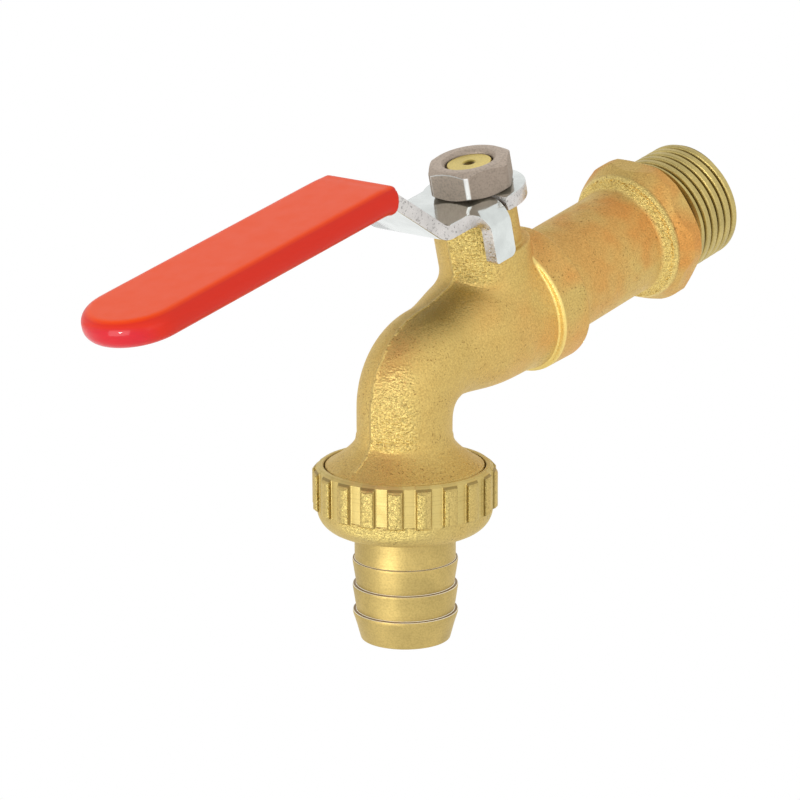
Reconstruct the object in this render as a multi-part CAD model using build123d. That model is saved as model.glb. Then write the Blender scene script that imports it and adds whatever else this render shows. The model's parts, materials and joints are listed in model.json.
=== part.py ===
from build123d import *
from math import cos, pi, radians, sin, sqrt, tan
import os

# Half inch lever ball tap with a three quarter inch union and a hose tail, in mm.
# Origin on the inlet axis at the wall shoulder; +Y runs into the wall, +Z up the stem.

# Fits, edges and cutting allowance shared by several pieces
RUN = 0.05
FREE = 0.3
EDGE = 0.5
OVERCUT = 1.0

# Inlet connector
INLET_THREAD_R = 10.4775
INLET_THREAD_LENGTH = 12.7
INLET_THREAD_CHAMFER = 0.45
INLET_BORE_R = 6.75
HEX_ACROSS_FLATS = 24.0
HEX_LENGTH = 5.8
HEX_CORNER_RISE = 0.75
HEX_CONE_LENGTH = 3.2
HEX_RIM_INSET = 0.36
HEX_CHAMFER = 30.0
HEX_TURN = 4.6
HEX_FLARE_R = 10.6
HEX_FLARE_LENGTH = 2.4
HEX_FLARE_SAG = 0.35
PIPE_R = 9.4
SPIGOT_LENGTH = 5.4
SEAT_STOP = 1.2

# Forged body
COLLAR_Y = -29.75
COLLAR_R = 12.05
COLLAR_LENGTH = 6.25
COLLAR_TAPER = 0.3
COLLAR_EDGE = 0.25
STEM_Y = -39.93
CHAMBER_R = 11.3
CHAMBER_OVERLAP = 0.8
CHAMBER_FALL = 0.45
CHAMBER_WAIST_R = 9.6
THROAT_R = 8.15
THROAT_FALL = 0.58
SPOUT_Y = -62.6
SPOUT_LEAN = 13.7
SPOUT_R = 7.8
SPOUT_STRAIGHT = 0.3
BEND_OUTER_R = 15.8
BEND_INNER_R = 2.4
BEND_STEPS = 4
WATER_R = 4.9
WATER_BEND = 1.5
BOSS_R = 7.8
BOSS_TOP = 20.4
STOP_NECK_R = 6.5
FLARE_START = 10.6
FLARE_END = 16.2
FLARE_CURVE = 1.7
FLARE_STEPS = 4

# Union
NUT_RISE = 0.7
NUT_R = 14.4
NUT_WALL = 1.13
UNION_THREAD_R = NUT_R - NUT_WALL - RUN
FLARE_INSET = 0.77
FLARE_R = UNION_THREAD_R - FLARE_INSET
STUB_END = 22.0
STUB_BORE_R = 8.4
STUB_TAPER = 4.0
GASKET_THICKNESS = 1.6
TAIL_FLANGE_THICKNESS = 1.4
TAIL_FLANGE_INSET = 1.25
NUT_LIP_THICKNESS = 1.4
NUT_RIM_CHAMFER = 0.15
NUT_RIB_HEIGHT = 0.8
NUT_RIB_COUNT = 20
NUT_RIB_SHARE = 0.56
NUT_RIB_START = 0.3
NUT_RIB_LENGTH = 6.8
NUT_RIB_EASE = 0.6
NUT_RIB_RUNOUT = 1.7
NUT_RIB_TURN = 16.6
NUT_FOOT_R = 11.2
NUT_FOOT_CURVE = 0.6
NUT_FOOT_STEPS = 5

# Hose tail
TAIL_NECK_R = 8.3
TAIL_BORE_R = 6.4
TAIL_END = 45.0
TAIL_TAPER = 2.6
TAIL_TIP_R = 7.35
BARB_R = 8.65
BARB_ROOT_R = 8.05
BARB_FIRST = 31.3
BARB_PITCH = 4.37
BARB_COUNT = 3

# Ball, seats and stem
BALL_R = 7.5
BALL_BORE_R = 4.75
SEAT_OUTER_R = 8.0
SEAT_REACH = 4.0
SEAT_DEPTH = 8.0
SLOT_WIDTH = 3.2
SLOT_FLOOR = 5.0
TANG_GAP = 0.2
STEM_R = 5.0
STEM_FLANGE_R = 6.1
STEM_FLANGE_Z = 9.8
STEM_FLANGE_THICKNESS = 1.5
WASHER_THICKNESS = 0.7
RING_FLOOR_R = 3.6
RING_HEIGHTS = (14.2, 17.4)
RING_GAP = 0.03
RING_GROOVE = 1.3
STEM_FLAT = 4.0
STEM_THREAD_R = 4.0
STEM_TOP = 27.5
STEM_CHAMFER = 0.4
DIMPLE_R = 1.2
DIMPLE_DEPTH = 0.8
CLAMP_GAP = 0.1

# Lever
LEVER_BASE = 20.7
LEVER_THICKNESS = 2.4
LEVER_HALF_WIDTH = 7.5
LEVER_HEAD_R = 8.6
RISER_REACH = 15.0
RISER_RUN = 10.3
RISER_HEIGHT = 10.2
LEVER_TIP = 81.4
BEND_R = 2.2
TAB_FRONT = 6.7
TAB_BACK = 1.9
TAB_BOTTOM = 13.4
TAB_BEND_R = 1.1
TAB_CORNER_R = 1.2
TAB_NOTCH = 0.7
SLEEVE_WALL = 1.0
SLEEVE_START = 25.0
SLEEVE_ROUNDING = 0.8
NUT_ACROSS_FLATS = 12.9
NUT_HEIGHT = 5.0
NUT_TURN = 7.0
NUT_MOUTH = 0.6

os.makedirs("parts", exist_ok=True)

INLET = Plane(origin=(0, 0, 0), x_dir=(1, 0, 0), z_dir=(0, 1, 0))
STEM = Plane(origin=(0, STEM_Y, 0), x_dir=(1, 0, 0), z_dir=(0, 0, 1))
LEAN = radians(SPOUT_LEAN)
SPOUT = Plane(origin=(0, SPOUT_Y, 0), x_dir=(1, 0, 0), z_dir=(0, -sin(LEAN), -cos(LEAN)))


def turned(points, frame):
    """Revolve a closed (radius, height) outline about the local Z of a frame."""
    outline = Polyline(*[(r, 0, h) for r, h in points], close=True)
    return frame.location * revolve(make_face(outline), Axis.Z)


def drum(radius, low, high, frame):
    """A plain cylinder between two heights of a frame."""
    return turned([(0, low), (radius, low), (radius, high), (0, high)], frame)


def oval(inner, outer, half_width):
    """An elliptic section across X between two (y, z) points."""
    dy, dz = outer[0] - inner[0], outer[1] - inner[1]
    span = sqrt(dy * dy + dz * dz)
    middle = (0, (inner[0] + outer[0]) / 2, (inner[1] + outer[1]) / 2)
    plane = Plane(origin=middle, x_dir=(1, 0, 0), z_dir=(0, -dz / span, dy / span))
    return plane * Ellipse(half_width, span / 2)


def hexagon(across_flats, outline, frame, turn):
    """A hexagonal bar turned down to a closed (radius, height) outline."""
    low, high = outline[0][1], outline[-1][1]
    bar = extrude(Rot(0, 0, turn) * RegularPolygon(across_flats / sqrt(3), 6), high - low)
    return frame.location * (Pos(0, 0, low) * bar) & turned(outline, frame)


# Inlet connector: wall thread, hexagon with a long cone on its tap side, tail pipe and the spigot
# that screws into the collar.
spigot_end = COLLAR_Y - SPIGOT_LENGTH
seat_pocket = STEM_Y + SEAT_DEPTH
flare_mid_r = PIPE_R + HEX_FLARE_SAG * (HEX_FLARE_R - PIPE_R)
connector = turned([
    (0, spigot_end), (PIPE_R, spigot_end), (PIPE_R, -HEX_LENGTH - HEX_FLARE_LENGTH),
    (flare_mid_r, -HEX_LENGTH - HEX_FLARE_SAG * HEX_FLARE_LENGTH), (HEX_FLARE_R, -HEX_LENGTH),
    (HEX_FLARE_R, -HEX_LENGTH / 2), (INLET_THREAD_R, -HEX_LENGTH / 2),
    (INLET_THREAD_R, INLET_THREAD_LENGTH - INLET_THREAD_CHAMFER),
    (INLET_THREAD_R - INLET_THREAD_CHAMFER, INLET_THREAD_LENGTH), (0, INLET_THREAD_LENGTH),
], INLET)
hex_slope = tan(radians(HEX_CHAMFER))
hex_corner = HEX_ACROSS_FLATS / 2 + HEX_CORNER_RISE
hex_rim = HEX_ACROSS_FLATS / 2 - HEX_RIM_INSET
connector += hexagon(HEX_ACROSS_FLATS, [
    (0, -HEX_LENGTH), (hex_corner - hex_slope * HEX_CONE_LENGTH, -HEX_LENGTH),
    (hex_corner, HEX_CONE_LENGTH - HEX_LENGTH), (hex_corner, -hex_slope * (hex_corner - hex_rim)),
    (hex_rim, 0), (0, 0),
], INLET, HEX_TURN)
seat_stop = seat_pocket + SEAT_STOP
connector -= turned([
    (0, spigot_end - OVERCUT), (SEAT_OUTER_R, spigot_end - OVERCUT), (SEAT_OUTER_R, seat_pocket),
    (WATER_R, seat_pocket), (WATER_R, seat_stop), (INLET_BORE_R, seat_stop + INLET_BORE_R - WATER_R),
    (INLET_BORE_R, INLET_THREAD_LENGTH + OVERCUT), (0, INLET_THREAD_LENGTH + OVERCUT),
], INLET)
export_step(connector, "parts/inlet_connector.step")

# Body, outside: collar, tapering ball chamber, bend, spout, flare and threaded stub.
collar_end = COLLAR_Y - COLLAR_LENGTH
waist_y = STEM_Y - BOSS_R
bend_turn = radians(90) - LEAN
outer_z = THROAT_R - BEND_OUTER_R
outer_y = SPOUT_Y + (sin(LEAN) * outer_z - (SPOUT_R - BEND_OUTER_R)) / cos(LEAN)
inner_z = -THROAT_R - BEND_INNER_R
inner_y = SPOUT_Y + (sin(LEAN) * inner_z + SPOUT_R + BEND_INNER_R) / cos(LEAN)
throat_y = max(outer_y, inner_y)

sections = []
for y, radius in (
    (collar_end + CHAMBER_OVERLAP, CHAMBER_R),
    (STEM_Y, CHAMBER_R + CHAMBER_FALL * (CHAMBER_WAIST_R - CHAMBER_R)),
    (waist_y, CHAMBER_WAIST_R),
    ((waist_y + throat_y) / 2, CHAMBER_WAIST_R + THROAT_FALL * (THROAT_R - CHAMBER_WAIST_R)),
):
    sections.append(oval((y, -radius), (y, radius), radius))
for step in range(BEND_STEPS + 1):
    share = step / BEND_STEPS
    lift = (-sin(bend_turn * share), cos(bend_turn * share))
    outer = (outer_y + BEND_OUTER_R * lift[0], outer_z + BEND_OUTER_R * lift[1])
    inner = (inner_y + BEND_INNER_R * lift[0], inner_z + BEND_INNER_R * lift[1])
    sections.append(oval(inner, outer, THROAT_R + share * (SPOUT_R - THROAT_R)))
front = (-cos(LEAN), sin(LEAN))
for reach in (FLARE_START - SPOUT_STRAIGHT, FLARE_START):
    centre = (SPOUT_Y - sin(LEAN) * reach, -cos(LEAN) * reach)
    outer = (centre[0] + SPOUT_R * front[0], centre[1] + SPOUT_R * front[1])
    inner = (centre[0] - SPOUT_R * front[0], centre[1] - SPOUT_R * front[1])
    sections.append(oval(inner, outer, SPOUT_R))
body = loft(sections)
collar_low_r = COLLAR_R - COLLAR_TAPER
body += turned([
    (0, collar_end), (collar_low_r - COLLAR_EDGE, collar_end), (collar_low_r, collar_end + COLLAR_EDGE),
    (COLLAR_R, COLLAR_Y - EDGE), (COLLAR_R - EDGE, COLLAR_Y), (0, COLLAR_Y),
], INLET)
outline = [(0, FLARE_START)]
for step in range(FLARE_STEPS + 1):
    share = step / FLARE_STEPS
    flare_r = SPOUT_R + (FLARE_R - SPOUT_R) * share ** FLARE_CURVE
    outline.append((flare_r, FLARE_START + (FLARE_END - FLARE_START) * share))
outline += [
    (FLARE_R, FLARE_END + EDGE), (UNION_THREAD_R, FLARE_END + 2 * EDGE),
    (UNION_THREAD_R, STUB_END - EDGE), (UNION_THREAD_R - EDGE, STUB_END), (0, STUB_END),
]
body += turned(outline, SPOUT)
body += drum(BOSS_R, 0, BOSS_TOP, STEM)

# Stop neck: the boss is cut back where the lever tab swings, and its two ends stop the tab.
tab_inner = STOP_NECK_R + FREE
tab_outer = tab_inner + LEVER_THICKNESS
shelf = TAB_BOTTOM - FREE
swing = drum(BOSS_R + OVERCUT, shelf, BOSS_TOP + OVERCUT, STEM)
swing -= drum(STOP_NECK_R, shelf - OVERCUT, BOSS_TOP + 2 * OVERCUT, STEM)
open_stop = sqrt(BOSS_R ** 2 - STOP_NECK_R ** 2)
close_stop = TAB_BACK - FREE
reach = 2 * BOSS_R
window = make_face(Polyline(
    (0, 0), (2 * STOP_NECK_R, -2 * open_stop), (reach, reach), (close_stop, reach), (close_stop, 0),
    close=True,
))
body -= swing & (STEM.location * extrude(window, 3 * BOSS_TOP))

# Body, inside: chamber, spigot bore, stem bore with its pocket, and the waterway round the bend.
seat_wall = STEM_Y - SEAT_DEPTH
flange_top = STEM_FLANGE_Z + STEM_FLANGE_THICKNESS
washer_top = flange_top + WASHER_THICKNESS
body -= turned([
    (0, seat_wall), (SEAT_OUTER_R, seat_wall), (SEAT_OUTER_R, spigot_end), (PIPE_R, spigot_end),
    (PIPE_R, COLLAR_Y + OVERCUT), (0, COLLAR_Y + OVERCUT),
], INLET)
body -= drum(STEM_FLANGE_R + FREE, 0, washer_top, STEM)
body -= drum(STEM_R + RUN, 0, BOSS_TOP + OVERCUT, STEM)
way_end = STUB_END + OVERCUT
way = FilletPolyline(
    (0, seat_wall + EDGE, 0), (0, SPOUT_Y, 0),
    (0, SPOUT_Y - sin(LEAN) * way_end, -cos(LEAN) * way_end), radius=WATER_R + WATER_BEND,
)
body -= sweep(Plane(origin=way @ 0, x_dir=(1, 0, 0), z_dir=(0, -1, 0)) * Circle(WATER_R), way)
body -= turned([
    (0, FLARE_END - STUB_TAPER), (WATER_R, FLARE_END - STUB_TAPER), (STUB_BORE_R, FLARE_END),
    (STUB_BORE_R, way_end), (0, way_end),
], SPOUT)
export_step(body, "parts/body.step")

# Ball and its two seats.
ball = STEM.location * Sphere(BALL_R)
ball -= drum(BALL_BORE_R, STEM_Y - 2 * BALL_R, STEM_Y + 2 * BALL_R, INLET)
slot = Box(3 * BALL_R, SLOT_WIDTH, BALL_R, align=(Align.CENTER, Align.CENTER, Align.MIN))
ball -= STEM.location * (Pos(0, 0, SLOT_FLOOR) * slot)
export_step(ball, "parts/ball.step")

seat_sphere = STEM.location * Sphere(BALL_R + RUN)
for name, side in (("front_seat", -1), ("rear_seat", 1)):
    near, far = STEM_Y + side * SEAT_REACH, STEM_Y + side * SEAT_DEPTH
    seat = turned([(WATER_R, near), (SEAT_OUTER_R, near), (SEAT_OUTER_R, far), (WATER_R, far)], INLET)
    export_step(seat - seat_sphere, f"parts/{name}.step")

# Stem with its tang, flange, ring grooves, flats and screwed top with a centre dimple.
flat_top = LEVER_BASE + LEVER_THICKNESS - CLAMP_GAP
ring_r = (STEM_R + RUN - RING_GAP - RING_FLOOR_R) / 2
groove = RING_GROOVE * ring_r
outline = [(0, STEM_FLANGE_Z), (STEM_FLANGE_R, STEM_FLANGE_Z)]
outline += [(STEM_FLANGE_R, flange_top), (STEM_R, flange_top)]
for height in RING_HEIGHTS:
    outline += [(STEM_R, height - groove), (RING_FLOOR_R, height - groove)]
    outline += [(RING_FLOOR_R, height + groove), (STEM_R, height + groove)]
outline += [
    (STEM_R, flat_top), (STEM_THREAD_R, flat_top), (STEM_THREAD_R, STEM_TOP - STEM_CHAMFER),
    (STEM_THREAD_R - STEM_CHAMFER, STEM_TOP), (DIMPLE_R, STEM_TOP), (0, STEM_TOP - DIMPLE_DEPTH),
]
stem = turned(outline, STEM)
for side in (-1, 1):
    cut = Box(2 * STEM_R, 3 * STEM_R, flat_top - LEVER_BASE, align=(Align.CENTER, Align.CENTER, Align.MIN))
    stem -= STEM.location * (Pos(side * (STEM_FLAT + STEM_R), 0, LEVER_BASE) * cut)
tang_low = SLOT_FLOOR + TANG_GAP
tang_width = SLOT_WIDTH - 2 * RUN
tang_length = 2 * sqrt((SEAT_REACH - FREE) ** 2 - (tang_width / 2) ** 2)
tang = Box(tang_length, tang_width, flange_top - tang_low, align=(Align.CENTER, Align.CENTER, Align.MIN))
stem += STEM.location * (Pos(0, 0, tang_low) * tang)
export_step(stem, "parts/stem.step")

washer = turned([
    (STEM_R, flange_top), (STEM_FLANGE_R, flange_top), (STEM_FLANGE_R, washer_top), (STEM_R, washer_top),
], STEM)
export_step(washer, "parts/stem_washer.step")
for name, height in zip(("stem_ring_lower", "stem_ring_upper"), RING_HEIGHTS):
    ring = STEM.location * (Pos(0, 0, height) * Torus(RING_FLOOR_R + ring_r, ring_r))
    export_step(ring, f"parts/{name}.step")

# Lever: a bent strip with a round head, a double D hole and a stop tab folded down on one side.
half = LEVER_THICKNESS / 2
plate_z = LEVER_BASE + half
plate_top = LEVER_BASE + LEVER_THICKNESS
foot = STEM_Y - RISER_REACH
crest = foot - RISER_RUN
tip = STEM_Y - LEVER_TIP


def edge_at(solid, y, z):
    """The edge along X nearest a (y, z) point."""
    return solid.edges().filter_by(Axis.X).sort_by_distance((0, y, z))[0]


def strip(extra, half_width):
    """The bent strip thickened by extra on every side, and its plan, rounded at the tip."""
    offset = half + extra
    slope = sqrt(RISER_RUN ** 2 + RISER_HEIGHT ** 2)
    shift = offset * (slope - RISER_RUN) / RISER_HEIGHT
    start, end = STEM_Y + 2 * LEVER_HEAD_R, tip - extra
    high_z = plate_z + RISER_HEIGHT
    top = [(start, plate_z + offset), (foot + shift, plate_z + offset), (crest + shift, high_z + offset)]
    low = [(crest - shift, high_z - offset), (foot - shift, plate_z - offset), (start, plate_z - offset)]
    profile = top + [(end, high_z + offset), (end, high_z - offset)] + low
    block = extrude(Plane.YZ * make_face(Polyline(*profile, close=True)), 2 * LEVER_HEAD_R, both=True)
    block = fillet([edge_at(block, *top[2]), edge_at(block, *low[1])], BEND_R + LEVER_THICKNESS + extra)
    block = fillet([edge_at(block, *top[1]), edge_at(block, *low[0])], BEND_R - extra)
    length = start - end
    plan = Pos(0, end + half_width + length / 2) * Rectangle(2 * half_width, length)
    plan += Pos(0, end + half_width) * Circle(half_width)
    return block, plan


block, plan = strip(0, LEVER_HALF_WIDTH)
plan = plan & (Pos(0, STEM_Y - LEVER_TIP) * Rectangle(4 * LEVER_HEAD_R, 2 * LEVER_TIP))
plan += Pos(0, STEM_Y) * Circle(LEVER_HEAD_R)
fold_x = tab_outer - TAB_BEND_R - LEVER_THICKNESS
tab_low, tab_high = STEM_Y - TAB_FRONT, STEM_Y - TAB_BACK
relief = 4 * LEVER_HEAD_R
plan -= Pos(fold_x + relief / 2, (tab_low + tab_high + TAB_NOTCH) / 2) * Rectangle(
    relief, tab_high - tab_low + TAB_NOTCH
)
lever = block & extrude(plan, 2 * STEM_TOP)
tab_outline = make_face(Polyline(
    (fold_x - half, plate_top), (tab_outer, plate_top), (tab_outer, TAB_BOTTOM), (tab_inner, TAB_BOTTOM),
    (tab_inner, LEVER_BASE), (fold_x - half, LEVER_BASE), close=True,
))
tab = Pos(0, tab_high, 0) * extrude(Plane.XZ * tab_outline, tab_high - tab_low)
folds = tab.edges().filter_by(Axis.Y)
tab = fillet(folds.sort_by_distance((tab_outer, tab_low, plate_top))[0], TAB_BEND_R + LEVER_THICKNESS)
folds = tab.edges().filter_by(Axis.Y)
tab = fillet(folds.sort_by_distance((tab_inner, tab_low, LEVER_BASE))[0], TAB_BEND_R)
corner = tab.edges().filter_by(Axis.X).sort_by_distance((tab_outer, tab_high, TAB_BOTTOM))[0]
tab = fillet(corner, TAB_CORNER_R)
lever += tab
hole = Circle(STEM_R) & Rectangle(2 * STEM_FLAT, 4 * STEM_R)
lever -= STEM.location * extrude(hole, STEM_TOP)
export_step(lever, "parts/lever.step")

# Dipped sleeve over the handle end of the lever.
sleeve_half = LEVER_HALF_WIDTH + SLEEVE_WALL
shell, plan = strip(SLEEVE_WALL, sleeve_half)
sleeve = shell & extrude(plan, 3 * STEM_TOP)
rims = [e for e in sleeve.edges() if abs(e.center().X) > sleeve_half - RUN or e.center().Y < tip]
sleeve = fillet(rims, SLEEVE_WALL + SLEEVE_ROUNDING * half)
sleeve &= Pos(0, STEM_Y - SLEEVE_START - LEVER_TIP, 0) * Box(8 * LEVER_HEAD_R, 2 * LEVER_TIP, 6 * STEM_TOP)
sleeve -= lever
export_step(sleeve, "parts/lever_sleeve.step")

# Hexagon nut that clamps the lever on the stem.
nut_top = plate_top + NUT_HEIGHT
nut_corner = NUT_ACROSS_FLATS / sqrt(3)
nut_rim = NUT_ACROSS_FLATS / 2 - HEX_RIM_INSET
nut_drop = hex_slope * (nut_corner - nut_rim)
lever_nut = hexagon(NUT_ACROSS_FLATS, [
    (0, plate_top), (nut_rim, plate_top), (nut_corner, plate_top + nut_drop),
    (nut_corner, nut_top - nut_drop), (nut_rim, nut_top), (0, nut_top),
], STEM, NUT_TURN)
mouth = STEM_THREAD_R + NUT_MOUTH
lever_nut -= turned([
    (0, plate_top - OVERCUT), (STEM_THREAD_R, plate_top - OVERCUT), (STEM_THREAD_R, nut_top - NUT_MOUTH),
    (mouth, nut_top), (mouth, nut_top + OVERCUT), (0, nut_top + OVERCUT),
], STEM)
export_step(lever_nut, "parts/lever_nut.step")

# Union: gasket, hose tail and the ribbed nut that draws them up to the spout.
gasket_low = STUB_END + GASKET_THICKNESS
flange_low = gasket_low + TAIL_FLANGE_THICKNESS
nut_low = flange_low + NUT_LIP_THICKNESS
tail_flange_r = UNION_THREAD_R - TAIL_FLANGE_INSET
gasket = turned([
    (STUB_BORE_R, STUB_END), (tail_flange_r, STUB_END), (tail_flange_r, gasket_low),
    (STUB_BORE_R, gasket_low),
], SPOUT)
export_step(gasket, "parts/tail_gasket.step")

outline = [(TAIL_BORE_R, gasket_low), (tail_flange_r, gasket_low), (tail_flange_r, flange_low)]
outline += [(TAIL_NECK_R, flange_low), (TAIL_NECK_R, BARB_FIRST)]
for barb in range(BARB_COUNT):
    rim = BARB_FIRST + barb * BARB_PITCH
    outline += [(BARB_R, rim), (BARB_R, rim + EDGE), (BARB_ROOT_R, rim + BARB_PITCH)]
outline[-1] = (BARB_ROOT_R, TAIL_END - TAIL_TAPER)
outline += [(TAIL_TIP_R, TAIL_END), (TAIL_BORE_R, TAIL_END)]
tail = turned(outline, SPOUT)
export_step(tail, "parts/hose_tail.step")

nut_start = FLARE_END - NUT_RISE
rib_low = nut_start + NUT_RIB_START
rib_end = rib_low + NUT_RIB_LENGTH
thread_r = UNION_THREAD_R + RUN
lip_r = BARB_R + FREE
outline = [(thread_r + NUT_RIM_CHAMFER, nut_start), (NUT_R - EDGE, nut_start), (NUT_R, nut_start + EDGE)]
for step in range(NUT_FOOT_STEPS + 1):
    share = step / NUT_FOOT_STEPS
    sink = 1 - (1 - share ** 2) ** NUT_FOOT_CURVE
    outline.append((NUT_R - (NUT_R - NUT_FOOT_R) * sink, rib_end + (nut_low - rib_end) * share))
outline += [
    (lip_r, nut_low), (lip_r, flange_low), (tail_flange_r + FREE, flange_low),
    (tail_flange_r + FREE, STUB_END + FREE), (thread_r, STUB_END + FREE),
    (thread_r, nut_start + NUT_RIM_CHAMFER),
]
union_nut = turned(outline, SPOUT)
rib_top = NUT_R + NUT_RIB_HEIGHT
rib_outline = make_face(Polyline(
    (NUT_R - EDGE, rib_low), (NUT_R + NUT_RIB_HEIGHT / 2, rib_low), (rib_top, rib_low + NUT_RIB_EASE),
    (rib_top, rib_end - NUT_RIB_RUNOUT), (NUT_R, rib_end), (NUT_R - EDGE, rib_end), close=True,
))
rib = extrude(Plane.XZ * rib_outline, NUT_RIB_SHARE * pi * NUT_R / NUT_RIB_COUNT, both=True)
for number in range(NUT_RIB_COUNT):
    union_nut += SPOUT.location * (Rot(0, 0, NUT_RIB_TURN + 360 * number / NUT_RIB_COUNT) * rib)
export_step(union_nut, "parts/union_nut.step")
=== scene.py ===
import json
from math import atan2, cos, hypot, pi, radians, sin, sqrt, tan
import bmesh
import bpy
import numpy as np
from mathutils import Matrix, Vector


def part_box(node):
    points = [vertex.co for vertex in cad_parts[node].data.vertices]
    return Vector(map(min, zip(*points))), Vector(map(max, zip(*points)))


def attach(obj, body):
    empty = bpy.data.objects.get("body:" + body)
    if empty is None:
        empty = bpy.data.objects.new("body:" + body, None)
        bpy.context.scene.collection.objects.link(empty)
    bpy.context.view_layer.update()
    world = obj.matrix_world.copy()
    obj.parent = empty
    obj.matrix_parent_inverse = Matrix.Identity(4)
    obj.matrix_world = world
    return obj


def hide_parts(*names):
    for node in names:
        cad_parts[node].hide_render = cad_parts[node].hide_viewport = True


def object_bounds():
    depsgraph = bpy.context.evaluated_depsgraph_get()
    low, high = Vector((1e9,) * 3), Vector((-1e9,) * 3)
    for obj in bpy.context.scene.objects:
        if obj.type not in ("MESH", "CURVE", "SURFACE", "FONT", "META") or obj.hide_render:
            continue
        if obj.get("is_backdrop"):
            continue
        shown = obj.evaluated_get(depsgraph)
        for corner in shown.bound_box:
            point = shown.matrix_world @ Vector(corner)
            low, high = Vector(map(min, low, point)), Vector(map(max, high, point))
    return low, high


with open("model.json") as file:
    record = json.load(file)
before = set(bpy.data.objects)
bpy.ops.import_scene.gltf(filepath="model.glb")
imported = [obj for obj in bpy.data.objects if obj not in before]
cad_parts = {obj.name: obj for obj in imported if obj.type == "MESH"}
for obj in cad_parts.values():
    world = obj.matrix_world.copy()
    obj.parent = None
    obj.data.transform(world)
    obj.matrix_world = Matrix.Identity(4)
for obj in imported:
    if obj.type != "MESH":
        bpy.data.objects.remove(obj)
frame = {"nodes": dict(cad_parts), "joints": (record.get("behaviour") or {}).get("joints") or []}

cad_box = [list(corner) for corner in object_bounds()]

# Forged body: collar, ball chamber, stem boss, bend and spout are one brass forging,
# shot blasted all over, with a trimmed flash line on its middle plane. Sizes here are in mm.
# The spout opens into a flare and a screwed stub that takes the union nut.
MM = 0.001
joints = {joint["name"]: joint for joint in frame["joints"]}
stem_y = joints["lever_turn"]["pos_m"][1] / MM
spout_y = joints["nut_turn"]["pos_m"][1] / MM
spout_down = np.array(joints["tail_drop"]["axis"])
lean = atan2(-spout_down[1], -spout_down[2])
body_low, body_high = (np.array(corner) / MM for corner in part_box("body"))
collar_y, boss_top = body_high[1], body_high[2]
COLLAR_R, COLLAR_LENGTH, COLLAR_TAPER, COLLAR_EDGE, COLLAR_ROOT = 12.05, 6.25, 0.3, 0.25, 0.12
CHAMBER_R, CHAMBER_PINCH, WAIST_R, THROAT_R, SPOUT_R = 11.3, 0.75, 9.6, 8.15, 7.8
BEND_OUTER_R, BEND_INNER_R = 15.8, 2.4
BOSS_R, BOSS_EDGE, BOSS_FILLET = 7.8, 0.35, 1.9
NECK_R, SHELF_Z, NECK_START, NECK_SLOPE, NECK_EDGE = 6.5, 13.1, 1.6, 0.663, 0.25
FLARE_START, FLARE_END, FLARE_LIFT, FLARE_R, FLARE_CURVE = 10.6, 16.2, 0.6, 13.0, 1.7
FLARE_LAND, FLARE_EDGE, FLARE_ROOT, FLARE_STEEP = 0.5, 0.3, 0.5, 0.8
STUB_R, STUB_END, STUB_EDGE, STUB_LAP, STUB_BORE_R, STUB_MOUTH = 13.22, 22.0, 0.4, 0.2, 8.4, 4.0
PIPE_PITCH, PIPE_THREAD_DEPTH, STUB_SHARPNESS = 1.814, 1.1, 1.3
WATER_R, CHAMBER_BORE_R, SPIGOT_BORE_R, STEM_BORE_R, SEAT_DEPTH = 4.9, 8.0, 9.4, 5.05, 8.0
SPIGOT_LENGTH = 5.4
FLASH_HEIGHT, FLASH_WIDTH, FLASH_TOP, FLASH_FOOT = 0.12, 0.36, 0.12, 0.38
BODY_STEP = 0.32
INLET_AXIS = (0, 1, 0)
CLOUD_SIZE, SHEEN_SIZE, PIT_CLUSTER, PIT_SIZE, FLASH_GAP = 9.0, 2.2, 6.0, 0.4, 1.4
WRINKLE_SIZE, WRINKLE_STRETCH, WRINKLE_DEPTH = 0.4, (1.6, 1.6, 1.0), 0.75
BEAD_SIZE, BEAD_DEPTH = 0.28, 0.1
# Centre and spread in mm of the painted shade that the lever casts on the throat.
LEVER_SHADE_CENTRE, LEVER_SHADE_SPREAD = (2.6, -55.5, 8.5), (5.2, 11.5, 5.4)

turn = pi / 2 - lean
front_y, front_z = -cos(lean), sin(lean)
outer_z = THROAT_R - BEND_OUTER_R
outer_y = spout_y + (sin(lean) * outer_z - SPOUT_R + BEND_OUTER_R) / cos(lean)
inner_z = -THROAT_R - BEND_INNER_R
inner_y = spout_y + (sin(lean) * inner_z + SPOUT_R + BEND_INNER_R) / cos(lean)
throat_y = max(outer_y, inner_y)
waist_y = stem_y - BOSS_R
chamber_start = collar_y - COLLAR_LENGTH
spigot_end = collar_y - SPIGOT_LENGTH
chamber_fit = np.polyfit(
    (chamber_start, stem_y, waist_y, (waist_y + throat_y) / 2, throat_y),
    (CHAMBER_R, 0.55 * CHAMBER_R + 0.45 * WAIST_R, WAIST_R, 0.42 * WAIST_R + 0.58 * THROAT_R, THROAT_R),
    4,
)


def blended(a, b, width):
    """The smaller of two distances, rounded over where they cross."""
    share = np.clip(0.5 + 0.5 * (b - a) / width, 0, 1)
    return b + (a - b) * share - width * share * (1 - share)


def trimmed(a, b, width):
    """The larger of two distances, with the edge eased over a width."""
    return -blended(-a, -b, width)


def about_bend(y, z, centre_y, centre_z):
    """Turning angle and distance of points about a centre of the bend."""
    return np.arctan2(centre_y - y, z - centre_z), np.hypot(y - centre_y, z - centre_z)


def down_spout(x, y, z):
    """Depth along the outlet, offset towards the front, and radius from the outlet axis."""
    depth = (y - spout_y) * spout_down[1] + z * spout_down[2]
    offset = (y - spout_y) * front_y + z * front_z
    return depth, offset, np.hypot(x, offset)


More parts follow.
